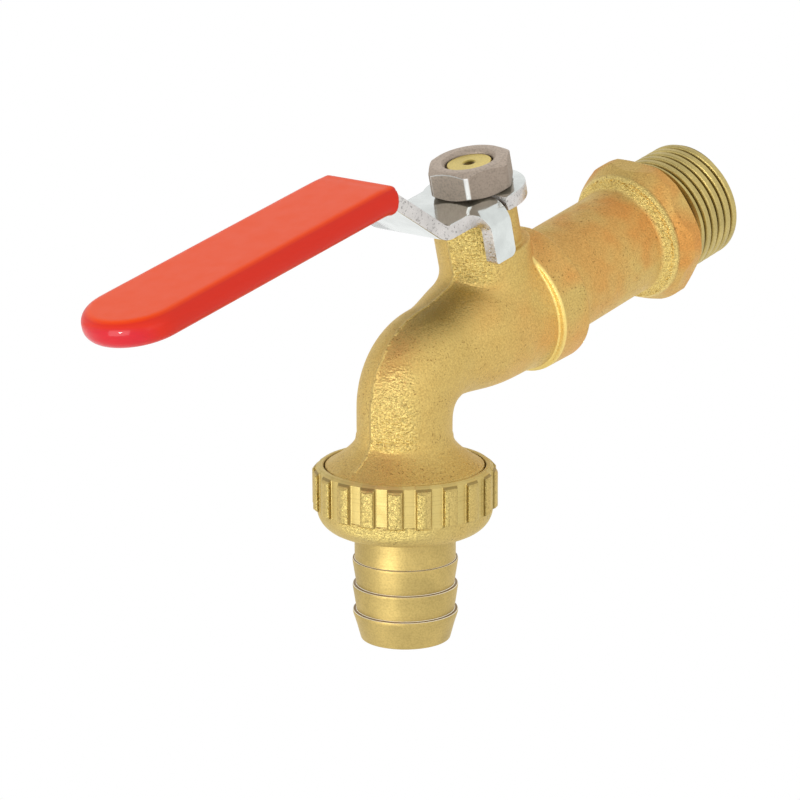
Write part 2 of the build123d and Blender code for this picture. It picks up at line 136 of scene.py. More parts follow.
def bent_tube(x, y, z):
    """Chamber, bend and spout as one tube of oval sections."""
    radius = np.polyval(chamber_fit, np.clip(y, throat_y, chamber_start))
    depth, offset, _ = down_spout(x, y, z)
    angle, reach = about_bend(y, z, outer_y, outer_z)
    share = np.clip(angle / turn, 0, 1)
    inside_bend = (angle > 0) & (angle < turn)
    above = np.where(inside_bend, BEND_OUTER_R - reach, np.minimum(radius - z, SPOUT_R - offset))
    angle, reach = about_bend(y, z, inner_y, inner_z)
    inside_bend = (angle > 0) & (angle < turn)
    below = np.where(inside_bend, reach - BEND_INNER_R, np.maximum(radius + z, SPOUT_R + offset))
    half = np.maximum((above + below) / 2, 1)
    pinch = CHAMBER_PINCH * np.clip((y - waist_y) / (chamber_start - waist_y), 0, 1)
    width = radius - pinch + share * (SPOUT_R - radius)
    tube = (np.hypot(x / width, (below - above) / (2 * half)) - 1) * (half + width) / 2
    return np.maximum(np.maximum(tube, y - collar_y + 1), depth - FLARE_END)


def thread_groove(height, x, across, pitch, depth):
    """Depth of a screw groove below its crest at a height and place round the axis."""
    phase = height / pitch - np.arctan2(across, x) / (2 * pi)
    return depth * (0.5 + 0.5 * np.cos(2 * pi * phase)) ** STUB_SHARPNESS


def forging(x, y, z):
    """Distance field of the forged body with its bores."""
    depth, offset, spout_r = down_spout(x, y, z)
    inlet_r = np.hypot(x, z)
    stem_r = np.hypot(x, y - stem_y)
    tube = bent_tube(x, y, z)
    boss = trimmed(stem_r - BOSS_R, z - boss_top, BOSS_EDGE)
    boss = np.maximum(boss, -z)
    skin = blended(tube, boss, BOSS_FILLET)
    rise = np.clip((depth - FLARE_START) / (FLARE_END - FLARE_LIFT - FLARE_START), 0, 1)
    rise = rise**FLARE_CURVE
    flare = (spout_r - SPOUT_R - (FLARE_R - SPOUT_R) * rise) * FLARE_STEEP
    flare = np.maximum(trimmed(flare, depth - FLARE_END - FLARE_LAND, FLARE_EDGE), FLARE_START - depth)
    skin = blended(skin, flare, FLARE_ROOT)
    skin = skin - FLASH_HEIGHT * np.exp(-((x / FLASH_WIDTH) ** 2)) * (y < chamber_start)
    groove = thread_groove(depth, x, offset, PIPE_PITCH, PIPE_THREAD_DEPTH)
    stub = trimmed(spout_r - STUB_R + groove, depth - STUB_END, STUB_EDGE)
    skin = np.minimum(skin, np.maximum(stub, FLARE_END + FLARE_LAND - STUB_LAP - depth))
    collar_half = COLLAR_LENGTH / 2
    collar_wall = inlet_r - COLLAR_R + COLLAR_TAPER * (collar_y - y) / COLLAR_LENGTH
    collar = trimmed(collar_wall, np.abs(y - collar_y + collar_half) - collar_half, COLLAR_EDGE)
    skin = blended(skin, collar, COLLAR_ROOT)
    neck = np.maximum(SHELF_Z - z, NECK_R - stem_r)
    window = np.maximum(-(y - stem_y) - NECK_SLOPE * x, NECK_START - x)
    skin = trimmed(skin, -np.maximum(neck, window), NECK_EDGE)
    seat_wall = stem_y - SEAT_DEPTH
    chamber = inlet_r - np.where(y > spigot_end, SPIGOT_BORE_R, CHAMBER_BORE_R)
    chamber = np.maximum(chamber, seat_wall - y)
    stem_bore = np.maximum(stem_r - STEM_BORE_R, -z)
    throat = np.maximum(inlet_r - WATER_R, np.maximum(spout_y - y, y - stem_y))
    outlet = np.maximum(spout_r - WATER_R, -depth)
    elbow = np.sqrt(x**2 + (y - spout_y) ** 2 + z**2) - WATER_R
    mouth = np.clip((depth - FLARE_END + STUB_MOUTH) / STUB_MOUTH, 0, 1)
    stub_bore = spout_r - WATER_R - (STUB_BORE_R - WATER_R) * mouth
    stub_bore = np.maximum(stub_bore, FLARE_END - STUB_MOUTH - depth)
    for bore in (chamber, stem_bore, throat, outlet, elbow, stub_bore):
        skin = np.maximum(skin, -bore)
    return skin


def skinned(field, low, high, step):
    """Corners and quads of the zero surface of a distance field, in mm."""
    axes = [np.arange(a - 2 * step, b + 3 * step, step) for a, b in zip(low, high)]
    value = field(*np.meshgrid(*axes, indexing="ij"))
    inside = value < 0
    cells = np.array(value.shape) - 1
    total = np.zeros((*cells, 3))
    count = np.zeros(cells)
    corner = lambda shift: tuple(slice(s, s + n) for s, n in zip(shift, cells))
    for axis in range(3):
        for side in range(4):
            start = np.insert([side & 1, side >> 1], axis, 0)
            end = np.insert([side & 1, side >> 1], axis, 1)
            near, far = value[corner(start)], value[corner(end)]
            crossed = (near < 0) != (far < 0)
            share = np.where(crossed, near / np.where(crossed, near - far, 1), 0)
            for other in range(3):
                total[..., other] += np.where(crossed, start[other] + (share if other == axis else 0), 0)
            count += crossed
    used = count > 0
    place = np.argwhere(used)
    points = np.array([a[0] for a in axes]) + step * (place + total[used] / count[used][:, None])
    for _ in range(2):
        here = field(*points.T)
        nudge = step * 0.1
        slope = np.stack([field(*(points + shift).T) - here for shift in np.eye(3) * nudge], 1) / nudge
        move = -here / np.maximum((slope**2).sum(1), 0.25)
        points += np.clip(move[:, None] * slope, -step / 3, step / 3)
    number = np.full(cells, -1)
    number[used] = np.arange(len(points))
    quads = []
    for axis in range(3):
        a, b = (axis + 1) % 3, (axis + 2) % 3
        near = [slice(1, -1)] * 3
        far = [slice(1, -1)] * 3
        near[axis], far[axis] = slice(0, -1), slice(1, None)
        starts = inside[tuple(near)]
        crossed = np.argwhere(starts != inside[tuple(far)]) + np.eye(3, dtype=int)[[a, b]].sum(0)
        step_a, step_b = np.eye(3, dtype=int)[a], np.eye(3, dtype=int)[b]
        ring = [crossed - step_a - step_b, crossed - step_b, crossed, crossed - step_a]
        ring = np.stack([number[tuple(cell.T)] for cell in ring], 1)
        outward = inside[tuple(crossed.T)]
        quads.append(np.where(outward[:, None], ring, ring[:, ::-1]))
    return points, np.concatenate(quads)


def placed(name, points, faces, sharp=None):
    """A mesh object from points in mm, smooth apart from edges sharper than an angle."""
    mesh = bpy.data.meshes.new(name)
    mesh.from_pydata((np.asarray(points) * MM).tolist(), [], [list(map(int, face)) for face in faces])
    mesh.validate()
    mesh.shade_smooth()
    if sharp:
        mesh.set_sharp_from_angle(angle=radians(sharp))
    piece = bpy.data.objects.new(name, mesh)
    bpy.context.scene.collection.objects.link(piece)
    return piece


def hue(red, green, blue):
    """A shader colour from the eight bit values of a swatch."""
    share = np.array([red, green, blue]) / 255
    linear = np.where(share <= 0.04045, share / 12.92, ((share + 0.055) / 1.055) ** 2.4)
    return (*map(float, linear), 1.0)


def new_finish(name):
    """An empty material with its node tree and shader."""
    material = bpy.data.materials.new(name)
    material.use_nodes = True
    return material, material.node_tree, material.node_tree.nodes["Principled BSDF"]


def joined(tree, kind, *values, **settings):
    """A new node with its settings and its first inputs set or linked; returns its first output."""
    node = tree.nodes.new(kind)
    for key, value in settings.items():
        setattr(node, key, value)
    for socket, value in zip(node.inputs, values):
        if isinstance(value, bpy.types.NodeSocket):
            tree.links.new(value, socket)
        elif value is not None:
            socket.default_value = value
    return node.outputs[0]


def worked(tree, operation, *values):
    """A number worked out by a math node."""
    return joined(tree, "ShaderNodeMath", *values, operation=operation)


def vector(tree, operation, *values):
    """A vector worked out by a node, or its number for a length or a dot product."""
    node = joined(tree, "ShaderNodeVectorMath", *values, operation=operation).node
    return node.outputs["Value" if operation in ("LENGTH", "DOT_PRODUCT") else "Vector"]


def axes_of(tree, value):
    """The X, Y and Z of a vector."""
    return joined(tree, "ShaderNodeSeparateXYZ", value).node.outputs


def off_axis(tree, place, origin, along):
    """Distance of a place from the axis through an origin."""
    offset = vector(tree, "SUBTRACT", place, tuple(origin))
    return vector(tree, "LENGTH", vector(tree, "CROSS_PRODUCT", offset, tuple(along)))


def facing_of(tree):
    """Which way the surface faces, in the piece's own axes."""
    return tree.nodes.new("ShaderNodeTexCoord").outputs["Normal"]


def piece_place(tree, stretch=(1, 1, 1)):
    """Object coordinates in mm, stretched along the axes."""
    place = tree.nodes.new("ShaderNodeTexCoord").outputs["Object"]
    scale = [1 / (MM * s) for s in stretch]
    return joined(tree, "ShaderNodeMapping", place, None, None, scale)


def mottle(tree, place, size, detail=2.0):
    """Soft noise with spots of a size in mm."""
    return joined(tree, "ShaderNodeTexNoise", place, None, 1 / size, detail)


def between(tree, value, low, high, out_low=0.0, out_high=1.0):
    """A value taken from one range to another and kept within it."""
    return joined(tree, "ShaderNodeMapRange", value, low, high, out_low, out_high)


def mixed(tree, share, first, second):
    """A colour between two others."""
    node = tree.nodes.new("ShaderNodeMix")
    node.data_type = "RGBA"
    for socket, value in zip((node.inputs[0], node.inputs[6], node.inputs[7]), (share, first, second)):
        if isinstance(value, bpy.types.NodeSocket):
            tree.links.new(value, socket)
        else:
            socket.default_value = value
    return node.outputs[2]


def relief(tree, shader, *layers):
    """Bump layers, each a height, a strength and a depth in mm, one over the other."""
    normal = None
    for height, strength, depth in layers:
        bump = tree.nodes.new("ShaderNodeBump")
        tree.links.new(height, bump.inputs["Height"])
        bump.inputs["Strength"].default_value = strength
        bump.inputs["Distance"].default_value = depth * MM
        if normal:
            tree.links.new(normal, bump.inputs["Normal"])
        normal = bump.outputs["Normal"]
    tree.links.new(normal, shader.inputs["Normal"])


def darker(colour, share):
    """A colour with only a share of its light."""
    return (*(share * c for c in colour[:3]), 1.0)


def blasted_brass(name, pale, warm, warm_from, warm_to, lit_faces, marks=None):
    """Shot blasted brass, warmer towards the wall end, with coarser grain and a painted highlight on the
    faces turned to a given aim, and painted shade in the wrinkle valleys there.
    """
    material, tree, shader = new_finish(name)
    place = piece_place(tree)
    along = axes_of(tree, place)["Y"]
    cloud = between(tree, mottle(tree, place, CLOUD_SIZE), 0.4, 0.66)
    heat = worked(tree, "MULTIPLY", between(tree, along, warm_from, warm_to), cloud)
    tint = mixed(tree, heat, pale, warm)
    # Painted highlight: faces turned to the aim, near the inlet axis and up to a given end, are painted a
    # brighter colour, and their wrinkles are made coarser.
    aim, least, most, within, until, highlight_tint = lit_faces
    facing = vector(tree, "DOT_PRODUCT", facing_of(tree), aim)
    near = between(tree, off_axis(tree, place, (0, 0, 0), INLET_AXIS), within, within + 0.25, 1.0, 0.0)
    near = worked(tree, "MULTIPLY", near, between(tree, along, until - 0.3, until, 1.0, 0.0))
    lit_and_coarse = worked(tree, "MULTIPLY", between(tree, facing, least, most), near)
    tint = mixed(tree, lit_and_coarse, tint, highlight_tint)
    dark = darker(warm, 0.35)
    wrinkles = mottle(tree, piece_place(tree, WRINKLE_STRETCH), WRINKLE_SIZE)
    # Painted shade in the low parts of the wrinkles on those faces.
    valley_shade = worked(tree, "MULTIPLY", between(tree, wrinkles, 0.34, 0.46, 0.18, 0.0), lit_and_coarse)
    tint = mixed(tree, valley_shade, tint, dark)
    wrinkles = worked(tree, "MULTIPLY", wrinkles, worked(tree, "MULTIPLY_ADD", lit_and_coarse, 0.9, 0.1))
    beads = mottle(tree, place, BEAD_SIZE)
    tint = mixed(tree, between(tree, beads, 0.35, 0.75, 0.0, 0.4), tint, dark)
    clusters = between(tree, mottle(tree, place, PIT_CLUSTER), 0.44, 0.6, 0.1, 0.8)
    pits = between(tree, mottle(tree, place, PIT_SIZE), 0.62, 0.7)
    tint = mixed(tree, worked(tree, "MULTIPLY", pits, clusters), tint, dark)
    skin = {"place": place, "tint": tint, "dark": dark, "beads": beads, "wrinkles": wrinkles, "seams": []}
    if marks:
        marks(tree, skin)
    tree.links.new(skin["tint"], shader.inputs["Base Color"])
    shader.inputs["Metallic"].default_value = 1.0
    rough = between(tree, mottle(tree, place, SHEEN_SIZE), 0.3, 0.7, 0.5, 0.62)
    tree.links.new(rough, shader.inputs["Roughness"])
    layers = [(skin["wrinkles"], 1.0, WRINKLE_DEPTH), (skin["beads"], 0.9, BEAD_DEPTH)]
    relief(tree, shader, *layers, *skin["seams"])
    return material


def forging_marks(tree, skin):
    """Painted shade of the lever on the throat, a painted highlight on the collar's shoulder, and the
    trimmed flash line, raised and given a faint painted highlight.
    """
    place = skin["place"]
    split = axes_of(tree, place)
    # Painted shade: a dark olive patch on top of the throat, where the lever shades it.
    away = vector(tree, "DIVIDE", vector(tree, "SUBTRACT", place, LEVER_SHADE_CENTRE), LEVER_SHADE_SPREAD)
    patchy = worked(tree, "MULTIPLY_ADD", skin["beads"], 1.8, -0.9)
    away = worked(tree, "ADD", vector(tree, "LENGTH", away), patchy)
    tint = mixed(tree, between(tree, away, 0.3, 1.1, 0.7, 0.0), skin["tint"], hue(128, 112, 66))
    # Painted highlight: a thin bright gold line along the collar's shoulder.
    shoulder = worked(tree, "ABSOLUTE", worked(tree, "SUBTRACT", split["Y"], chamber_start + 0.1))
    reach = off_axis(tree, place, (0, 0, 0), INLET_AXIS)
    on_collar = between(tree, reach, COLLAR_R - 0.05, COLLAR_R + 0.25, 1.0, 0.0)
    shoulder = worked(tree, "MULTIPLY", between(tree, shoulder, 0.2, 0.45, 0.8, 0.0), on_collar)
    tint = mixed(tree, shoulder, tint, highlight_gold)
    # The trimmed flash line: raised by a bump and given a faint painted highlight.
    seam = between(tree, worked(tree, "ABSOLUTE", split["X"]), FLASH_TOP, FLASH_FOOT, 1.0, 0.0)
    seam = worked(tree, "MULTIPLY", seam, between(tree, mottle(tree, place, FLASH_GAP), 0.4, 0.5))
    skin["tint"] = mixed(tree, worked(tree, "MULTIPLY", seam, 0.22), tint, highlight_gold)
    skin["seams"].append((seam, 0.8, 0.3))


# Gold of the painted highlights on the collar's shoulder and along the flash line.
highlight_gold = hue(250, 228, 146)
# Painted highlight on faces towards the front lamp: aim, facing range, reach from the inlet axis, end along
# Y and colour.
front_highlight = (0.46, -0.88, 0.1), 0.8, 0.95, 100.0, chamber_start - 0.3, hue(246, 224, 142)
forged_brass = blasted_brass(
    "forged_brass", hue(222, 194, 118), hue(232, 178, 102), -56.0, -30.0, front_highlight, forging_marks
)
body = placed("tap_body", *skinned(forging, body_low, body_high, BODY_STEP))
body.data.materials.append(forged_brass)
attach(body, "tap")
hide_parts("body")

# Inlet connector: a brass nipple with a hexagon for the spanner and a parallel pipe thread.
# The pipe and hexagon are blasted as forged, the thread is cut on a lathe.
# Its spigot screws into the collar of the body and holds the rear seat.
THREAD_R, THREAD_LENGTH, THREAD_CHAMFER, INLET_BORE_R = 10.4775, 12.7, 0.45, 6.75
RUN_OUT_R, RUN_OUT_LENGTH, RUN_OUT_END = 9.35, 2.4, 1.5
HEX_FLATS, HEX_LENGTH, HEX_CORNER_R, HEX_TURN = 24.0, 5.8, 12.75, 4.6
HEX_CONE, HEX_RIM_INSET, HEX_STEP = 3.2, 0.36, 0.05
PIPE_R, FLARE_TOP_R, FLARE_RUN, SPIGOT_EASE, SEAT_LIP = 9.4, 10.6, 2.4, 0.02, 1.2
CONNECTOR_COLUMNS, THREAD_ROWS, THREAD_SHARPNESS, TOOL_FEED = 288, 130, 5.0, 0.22
chamfer_slope = tan(radians(30))
hex_rim = HEX_FLATS / 2 - HEX_RIM_INSET
hex_drop = (HEX_CORNER_R - hex_rim) * chamfer_slope
cone_rim = HEX_CORNER_R - HEX_CONE * chamfer_slope
seat_pocket = stem_y + SEAT_DEPTH


def run(start, end, count):
    """Evenly spaced outline points from one point up to another, without the last."""
    return [tuple(p) for p in np.linspace(start, end, count, endpoint=False)]


def quarter_oval(start, end, count):
    """A quarter of an oval between two outline points, square to the axis at the first."""
    (r0, h0), (r1, h1) = start, end
    angles = np.linspace(0, pi / 2, count)
    return [(r0 + (r1 - r0) * sin(a), h0 + (h1 - h0) * (1 - cos(a))) for a in angles]


def eased(outline, radius, count=4):
    """A closed outline with each sharp corner rounded by a small radius."""
    points = np.array(outline, float)
    result = []
    for before, here, after in zip(np.roll(points, 1, 0), points, np.roll(points, -1, 0)):
        into, out = here - before, after - here
        long_in, long_out = np.hypot(*into), np.hypot(*out)
        cross = (into[0] * out[1] - into[1] * out[0]) / (long_in * long_out)
        reach = min(radius, 0.45 * long_in, 0.45 * long_out)
        if abs(cross) < 0.2:
            result.append(tuple(here))
            continue
        first, last = here - into / long_in * reach, here + out / long_out * reach
        for share in np.linspace(0, 1, count):
            curve = (1 - share) ** 2 * first + 2 * share * (1 - share) * here + share**2 * last
            result.append(tuple(curve))
    return result


def turned(name, outline, columns, flats=None, sharp=32):
    """A turned piece about its own Z axis, with hexagon flats where they are given."""
    outline = np.array(outline)
    start = radians(flats[1]) if flats else 0
    angles = start + np.linspace(0, 2 * pi, columns, endpoint=False)
    radius = np.repeat(outline[:, :1], columns, 1)
    if flats:
        off_middle = (angles - start) % (pi / 3) - pi / 6
        radius = np.minimum(radius, flats[0] / 2 / np.cos(off_middle))
    height = np.repeat(outline[:, 1:], columns, 1)
    points = np.stack([radius * np.cos(angles), radius * np.sin(angles), height], -1).reshape(-1, 3)
    rows = len(outline)
    row, column = (index.ravel() for index in np.meshgrid(range(rows), range(columns), indexing="ij"))
    next_row, next_column = (row + 1) % rows, (column + 1) % columns
    quads = np.stack([
        row * columns + column, row * columns + next_column,
        next_row * columns + next_column, next_row * columns + column,
    ], 1)
    area = (outline[:, 0] * np.roll(outline[:, 1], -1) - np.roll(outline[:, 0], -1) * outline[:, 1]).sum()
    return placed(name, points, quads if area > 0 else quads[:, ::-1], sharp)


def axes_frame(origin, along):
    """Matrix that stands a piece made about Z on an origin in mm, along a direction square to X."""
    along = Vector(along).normalized()
    across = Vector((1, 0, 0))
    turn_matrix = Matrix((across, along.cross(across), along)).transposed().to_4x4()
    return Matrix.Translation(Vector(origin) * MM) @ turn_matrix


def radial_tree(name, inputs, shape):
    """A node tree that moves points in or out from the Z axis by a rule of angle, height and radius."""
    tree = bpy.data.node_groups.new(name, "GeometryNodeTree")
    tree.interface.new_socket("Geometry", in_out="INPUT", socket_type="NodeSocketGeometry")
    for label in inputs:
        tree.interface.new_socket(label, in_out="INPUT", socket_type="NodeSocketFloat")
    tree.interface.new_socket("Material", in_out="INPUT", socket_type="NodeSocketMaterial")
    tree.interface.new_socket("Geometry", in_out="OUTPUT", socket_type="NodeSocketGeometry")
    given = tree.nodes.new("NodeGroupInput").outputs
    place = tree.nodes.new("GeometryNodeInputPosition").outputs[0]
    split = axes_of(tree, place)
    angle = worked(tree, "ARCTAN2", split["Y"], split["X"])
    flat = vector(tree, "MULTIPLY", place, (1, 1, 0))
    radius = vector(tree, "LENGTH", flat)
    lift = shape(tree, given, angle, split["Z"], radius)
    scaled = vector(tree, "SCALE", flat)
    tree.links.new(worked(tree, "DIVIDE", lift, radius), scaled.node.inputs["Scale"])
    moved = joined(tree, "GeometryNodeSetPosition", given["Geometry"], None, None, scaled)
    real = joined(tree, "GeometryNodeRealizeInstances", moved)
    dressed = joined(tree, "GeometryNodeSetMaterial", real, None, given["Material"])
    tree.links.new(dressed, tree.nodes.new("NodeGroupOutput").inputs[0])
    return tree


def shaped(piece, tree, material, **sizes):
    """Runs a node tree on a piece and keeps the result as its plain mesh."""
    modifier = piece.modifiers.new(tree.name, "NODES")
    modifier.node_group = tree
    wanted = {key.replace("_", " ").title(): value for key, value in sizes.items()}
    for socket in tree.interface.items_tree:
        if socket.in_out == "INPUT" and socket.name in wanted:
            modifier[socket.identifier] = float(wanted[socket.name])
        if socket.in_out == "INPUT" and socket.name == "Material":
            modifier[socket.identifier] = material
    graph = bpy.context.evaluated_depsgraph_get()
    mesh = bpy.data.meshes.new_from_object(piece.evaluated_get(graph))
    piece.modifiers.clear()
    piece.data = mesh


def screw_thread(tree, given, angle, height, radius):
    """Rounded screw grooves that fade in at the shoulder and out at the end."""
    whole_turn = worked(tree, "DIVIDE", angle, 2 * pi)
    phase = worked(tree, "SUBTRACT", worked(tree, "DIVIDE", height, given["Pitch"]), whole_turn)
    wave = worked(tree, "COSINE", worked(tree, "MULTIPLY", phase, 2 * pi))
    wave = worked(tree, "POWER", worked(tree, "MULTIPLY_ADD", wave, 0.5, 0.5), THREAD_SHARPNESS)
    half_turn = worked(tree, "ADD", given["Start"], worked(tree, "MULTIPLY", given["Pitch"], 0.5))
    begin = between(tree, height, given["Start"], half_turn)
    last = worked(tree, "SUBTRACT", given["End"], 0.2 * MM)
    stop = between(tree, height, last, given["End"], 1.0, 0.0)
    outside = worked(tree, "GREATER_THAN", radius, given["Bore"])
    depth = worked(tree, "MULTIPLY", worked(tree, "MULTIPLY", begin, stop), outside)
    depth = worked(tree, "MULTIPLY", depth, worked(tree, "MULTIPLY", wave, given["Depth"]))
    return worked(tree, "MULTIPLY", depth, -1.0)


def tool_lines(tree, height, size, detail):
    """Fine lines that a tool leaves along a height."""
    return joined(tree, "ShaderNodeTexNoise", None, height, 1 / size, detail, noise_dimensions="1D")


def turned_brass(name, colour, along, line=0.05, rough=(0.24, 0.36), recess_shade=None, ledge_shade=None):
    """Lathe cut brass with fine tool lines round an axis, with painted shade in hollows between given radii
    from that axis, and, where given, painted shade on ledges with a painted highlight on their edges.
    """
    material, tree, shader = new_finish(name)
    place = piece_place(tree)
    lines = tool_lines(tree, vector(tree, "DOT_PRODUCT", place, tuple(along)), TOOL_FEED, 3.0)
    cloud = between(tree, mottle(tree, place, 5.0), 0.35, 0.65)
    tint = mixed(tree, cloud, colour, darker(colour, 0.84))
    tint = mixed(tree, between(tree, mottle(tree, place, 0.3), 0.4, 0.75, 0.0, 0.22), tint, speck_and_shade_brown)
    facing = vector(tree, "DOT_PRODUCT", facing_of(tree), tuple(along))
    if ledge_shade:
        # Painted shade on the ledges that face back along the axis, and a painted white highlight on their
        # rounded edges.
        tint = mixed(tree, between(tree, facing, -0.9, -0.75, 0.85, 0.0), tint, ledge_shade)
        edge_glint = between(tree, facing, -0.4, -0.25, 0.9, 0.0)
        edge_glint = worked(tree, "MULTIPLY", between(tree, facing, -0.85, -0.7), edge_glint)
        tint = mixed(tree, edge_glint, tint, hue(255, 250, 235))
    # Painted shade in hollows: darker between the given radii, such as thread roots, the run-out groove and
    # the stem's dimple and rim.
    if recess_shade:
        origin, *bands = recess_shade
        radius = off_axis(tree, place, origin, along)
        off_end = between(tree, facing, 0.95, 0.99, 0.9, 0.0)
        for clean, dirty in bands:
            share = worked(tree, "MULTIPLY", between(tree, radius, clean, dirty), off_end)
            tint = mixed(tree, share, tint, speck_and_shade_brown)
    tree.links.new(tint, shader.inputs["Base Color"])
    shader.inputs["Metallic"].default_value = 1.0
    tree.links.new(between(tree, lines, 0.3, 0.7, *rough), shader.inputs["Roughness"])
    relief(tree, shader, (lines, 0.6, line), (mottle(tree, place, 0.5, 3.0), 0.25, 0.05))
    return material


# Brown for the fine specks and for the painted shade in hollows.
speck_and_shade_brown = hue(70, 48, 20)
connector_outline = [(INLET_BORE_R, THREAD_LENGTH), (THREAD_R - THREAD_CHAMFER, THREAD_LENGTH)]
connector_outline += run((THREAD_R, THREAD_LENGTH - THREAD_CHAMFER), (THREAD_R, RUN_OUT_LENGTH), THREAD_ROWS)
connector_outline += [(THREAD_R, RUN_OUT_LENGTH), (RUN_OUT_R, RUN_OUT_END), (RUN_OUT_R, 0)]
connector_outline += run((hex_rim, 0), (HEX_CORNER_R, -hex_drop), 10)
connector_outline += run((HEX_CORNER_R, -hex_drop), (HEX_CORNER_R, HEX_CONE - HEX_LENGTH), 6)
connector_outline += run((HEX_CORNER_R, HEX_CONE - HEX_LENGTH), (cone_rim, -HEX_LENGTH), 24)
connector_outline += [(cone_rim, -HEX_LENGTH)]
connector_outline += quarter_oval(
    (FLARE_TOP_R, -HEX_LENGTH - HEX_STEP), (PIPE_R, -HEX_LENGTH - FLARE_RUN), 12
)
seat_back = seat_pocket + SEAT_LIP
connector_outline += [
    (PIPE_R, collar_y), (PIPE_R - SPIGOT_EASE, collar_y), (PIPE_R - SPIGOT_EASE, spigot_end),
    (CHAMBER_BORE_R, spigot_end), (CHAMBER_BORE_R, seat_pocket), (WATER_R, seat_pocket),
    (WATER_R, seat_back), (INLET_BORE_R, seat_back + INLET_BORE_R - WATER_R),
]
# Painted highlight on the hexagon's cone where it faces the front.
cone_highlight = (0, -1, 0), 0.15, 0.4, 11.2, 0.0, hue(246, 222, 140)
pipe_brass = blasted_brass("pipe_brass", hue(224, 194, 118), hue(228, 168, 92), -40.0, -12.0, cone_highlight)
# Painted shade in the thread roots and the run-out groove, darkest inside 9.6 mm.
thread_root_shade = (0, 0, 0), (10.3, 9.6)
thread_brass = turned_brass(
    "thread_brass", hue(210, 190, 122), INLET_AXIS, rough=(0.36, 0.5), recess_shade=thread_root_shade
)
connector = turned("inlet_connector_skin", connector_outline, CONNECTOR_COLUMNS, (HEX_FLATS, HEX_TURN))
pipe_thread = radial_tree("pipe_thread", ("Pitch", "Depth", "Start", "End", "Bore"), screw_thread)
shaped(
    connector, pipe_thread, pipe_brass,
    pitch=PIPE_PITCH * MM, depth=PIPE_THREAD_DEPTH * MM, start=0.2 * MM, end=(THREAD_LENGTH + 0.1) * MM,
    bore=(INLET_BORE_R + 0.5) * MM,
)
connector.data.materials.append(thread_brass)
for face in connector.data.polygons:
    face.material_index = int(face.center.z > 0.02 * MM)
connector.data.transform(axes_frame((0, 0, 0), INLET_AXIS))
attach(connector, "tap")
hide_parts("inlet_connector")

# Ball, seats, stem and packing: the plated ball turns between two white sealing rings.
# The shapes stay as constructed, with rubber rings on the stem and a gasket on the hose tail.
# Only the top of the brass stem shows, inside the lever nut.
plated, tree, shader = new_finish("chrome_ball")
shader.inputs["Metallic"].default_value = 1.0
shader.inputs["Base Color"].default_value = hue(215, 217, 220)
polish = between(tree, mottle(tree, piece_place(tree), 1.5), 0.3, 0.7, 0.06, 0.12)
tree.links.new(polish, shader.inputs["Roughness"])


def moulded(name, colour, rough):
    """A plain moulded seal with a faint skin."""
    material, tree, shader = new_finish(name)
    place = piece_place(tree)
    tint = mixed(tree, mottle(tree, place, 2.0), colour, darker(colour, 0.8))
    tree.links.new(tint, shader.inputs["Base Color"])
    shader.inputs["Roughness"].default_value = rough
    relief(tree, shader, (mottle(tree, place, 0.6), 0.2, 0.05))
    return material


def dress(material, *nodes):
    """Gives pieces that stay as constructed their finish."""
    for node in nodes:
        frame["nodes"][node].material_slots[0].material = material


dress(plated, "ball")
dress(moulded("white_seal", hue(236, 235, 228), 0.45), "front_seat", "rear_seat", "stem_washer")
dress(moulded("black_rubber", hue(38, 38, 40), 0.6), "stem_ring_lower", "stem_ring_upper", "tail_gasket")
# Painted shade in the stem's dimple and round its rim, inside the lever nut.
stem_recess_shade = (0, stem_y, 0), (1.15, 0.8), (3.62, 3.75)
stem_brass = turned_brass("stem_brass", hue(232, 208, 116), (0, 0, 1), recess_shade=stem_recess_shade)
dress(stem_brass, "stem")

# Lever: a strip of zinc plated steel, blanked with a stop tab on one side and then bent twice.
# The head clamps on the flats of the stem and the tab folds down beside the boss.
PLATE_BASE, PLATE_THICKNESS, STRIP_HALF, HEAD_R = 20.7, 2.4, 7.5, 8.6
RISER_REACH, RISER_RUN, RISER_HEIGHT, LEVER_TIP, BEND_R = 15.0, 10.3, 10.2, 81.4, 2.2
HOLE_R, HOLE_FLAT = 5.0, 4.0
TAB_FRONT, TAB_BACK, TAB_BOTTOM, TAB_OUTER = 6.7, 1.9, 13.4, 9.2
TAB_NOTCH, TAB_CORNER, TAB_TOE = 0.45, 1.2, 0.5
FOLD_R, ROOT_R, ROOT_FADE, BLANK_EDGE = 1.7, 2.2, 3.2, 0.16
plate_half = PLATE_THICKNESS / 2
plate_z = PLATE_BASE + plate_half
plate_top = PLATE_BASE + PLATE_THICKNESS
fold_r = FOLD_R + plate_half
fold_x = TAB_OUTER - FOLD_R - PLATE_THICKNESS
tab_end = fold_x + fold_r * pi / 2 + plate_z - fold_r - TAB_BOTTOM
bend_r = BEND_R + plate_half
slope = atan2(RISER_HEIGHT, RISER_RUN)
bend_cut = bend_r * tan(slope / 2)
stations = np.cumsum([
    RISER_REACH - bend_cut, bend_r * slope, hypot(RISER_RUN, RISER_HEIGHT) - 2 * bend_cut, bend_r * slope,
])
blank_tip = stations[3] + LEVER_TIP - RISER_REACH - RISER_RUN - bend_cut


def arc(centre, radius, start, end, count):
    """Points on a circle between two angles in degrees."""
    angles = np.radians(np.linspace(start, end, count))
    return [(centre[0] + radius * cos(a), centre[1] + radius * sin(a)) for a in angles]


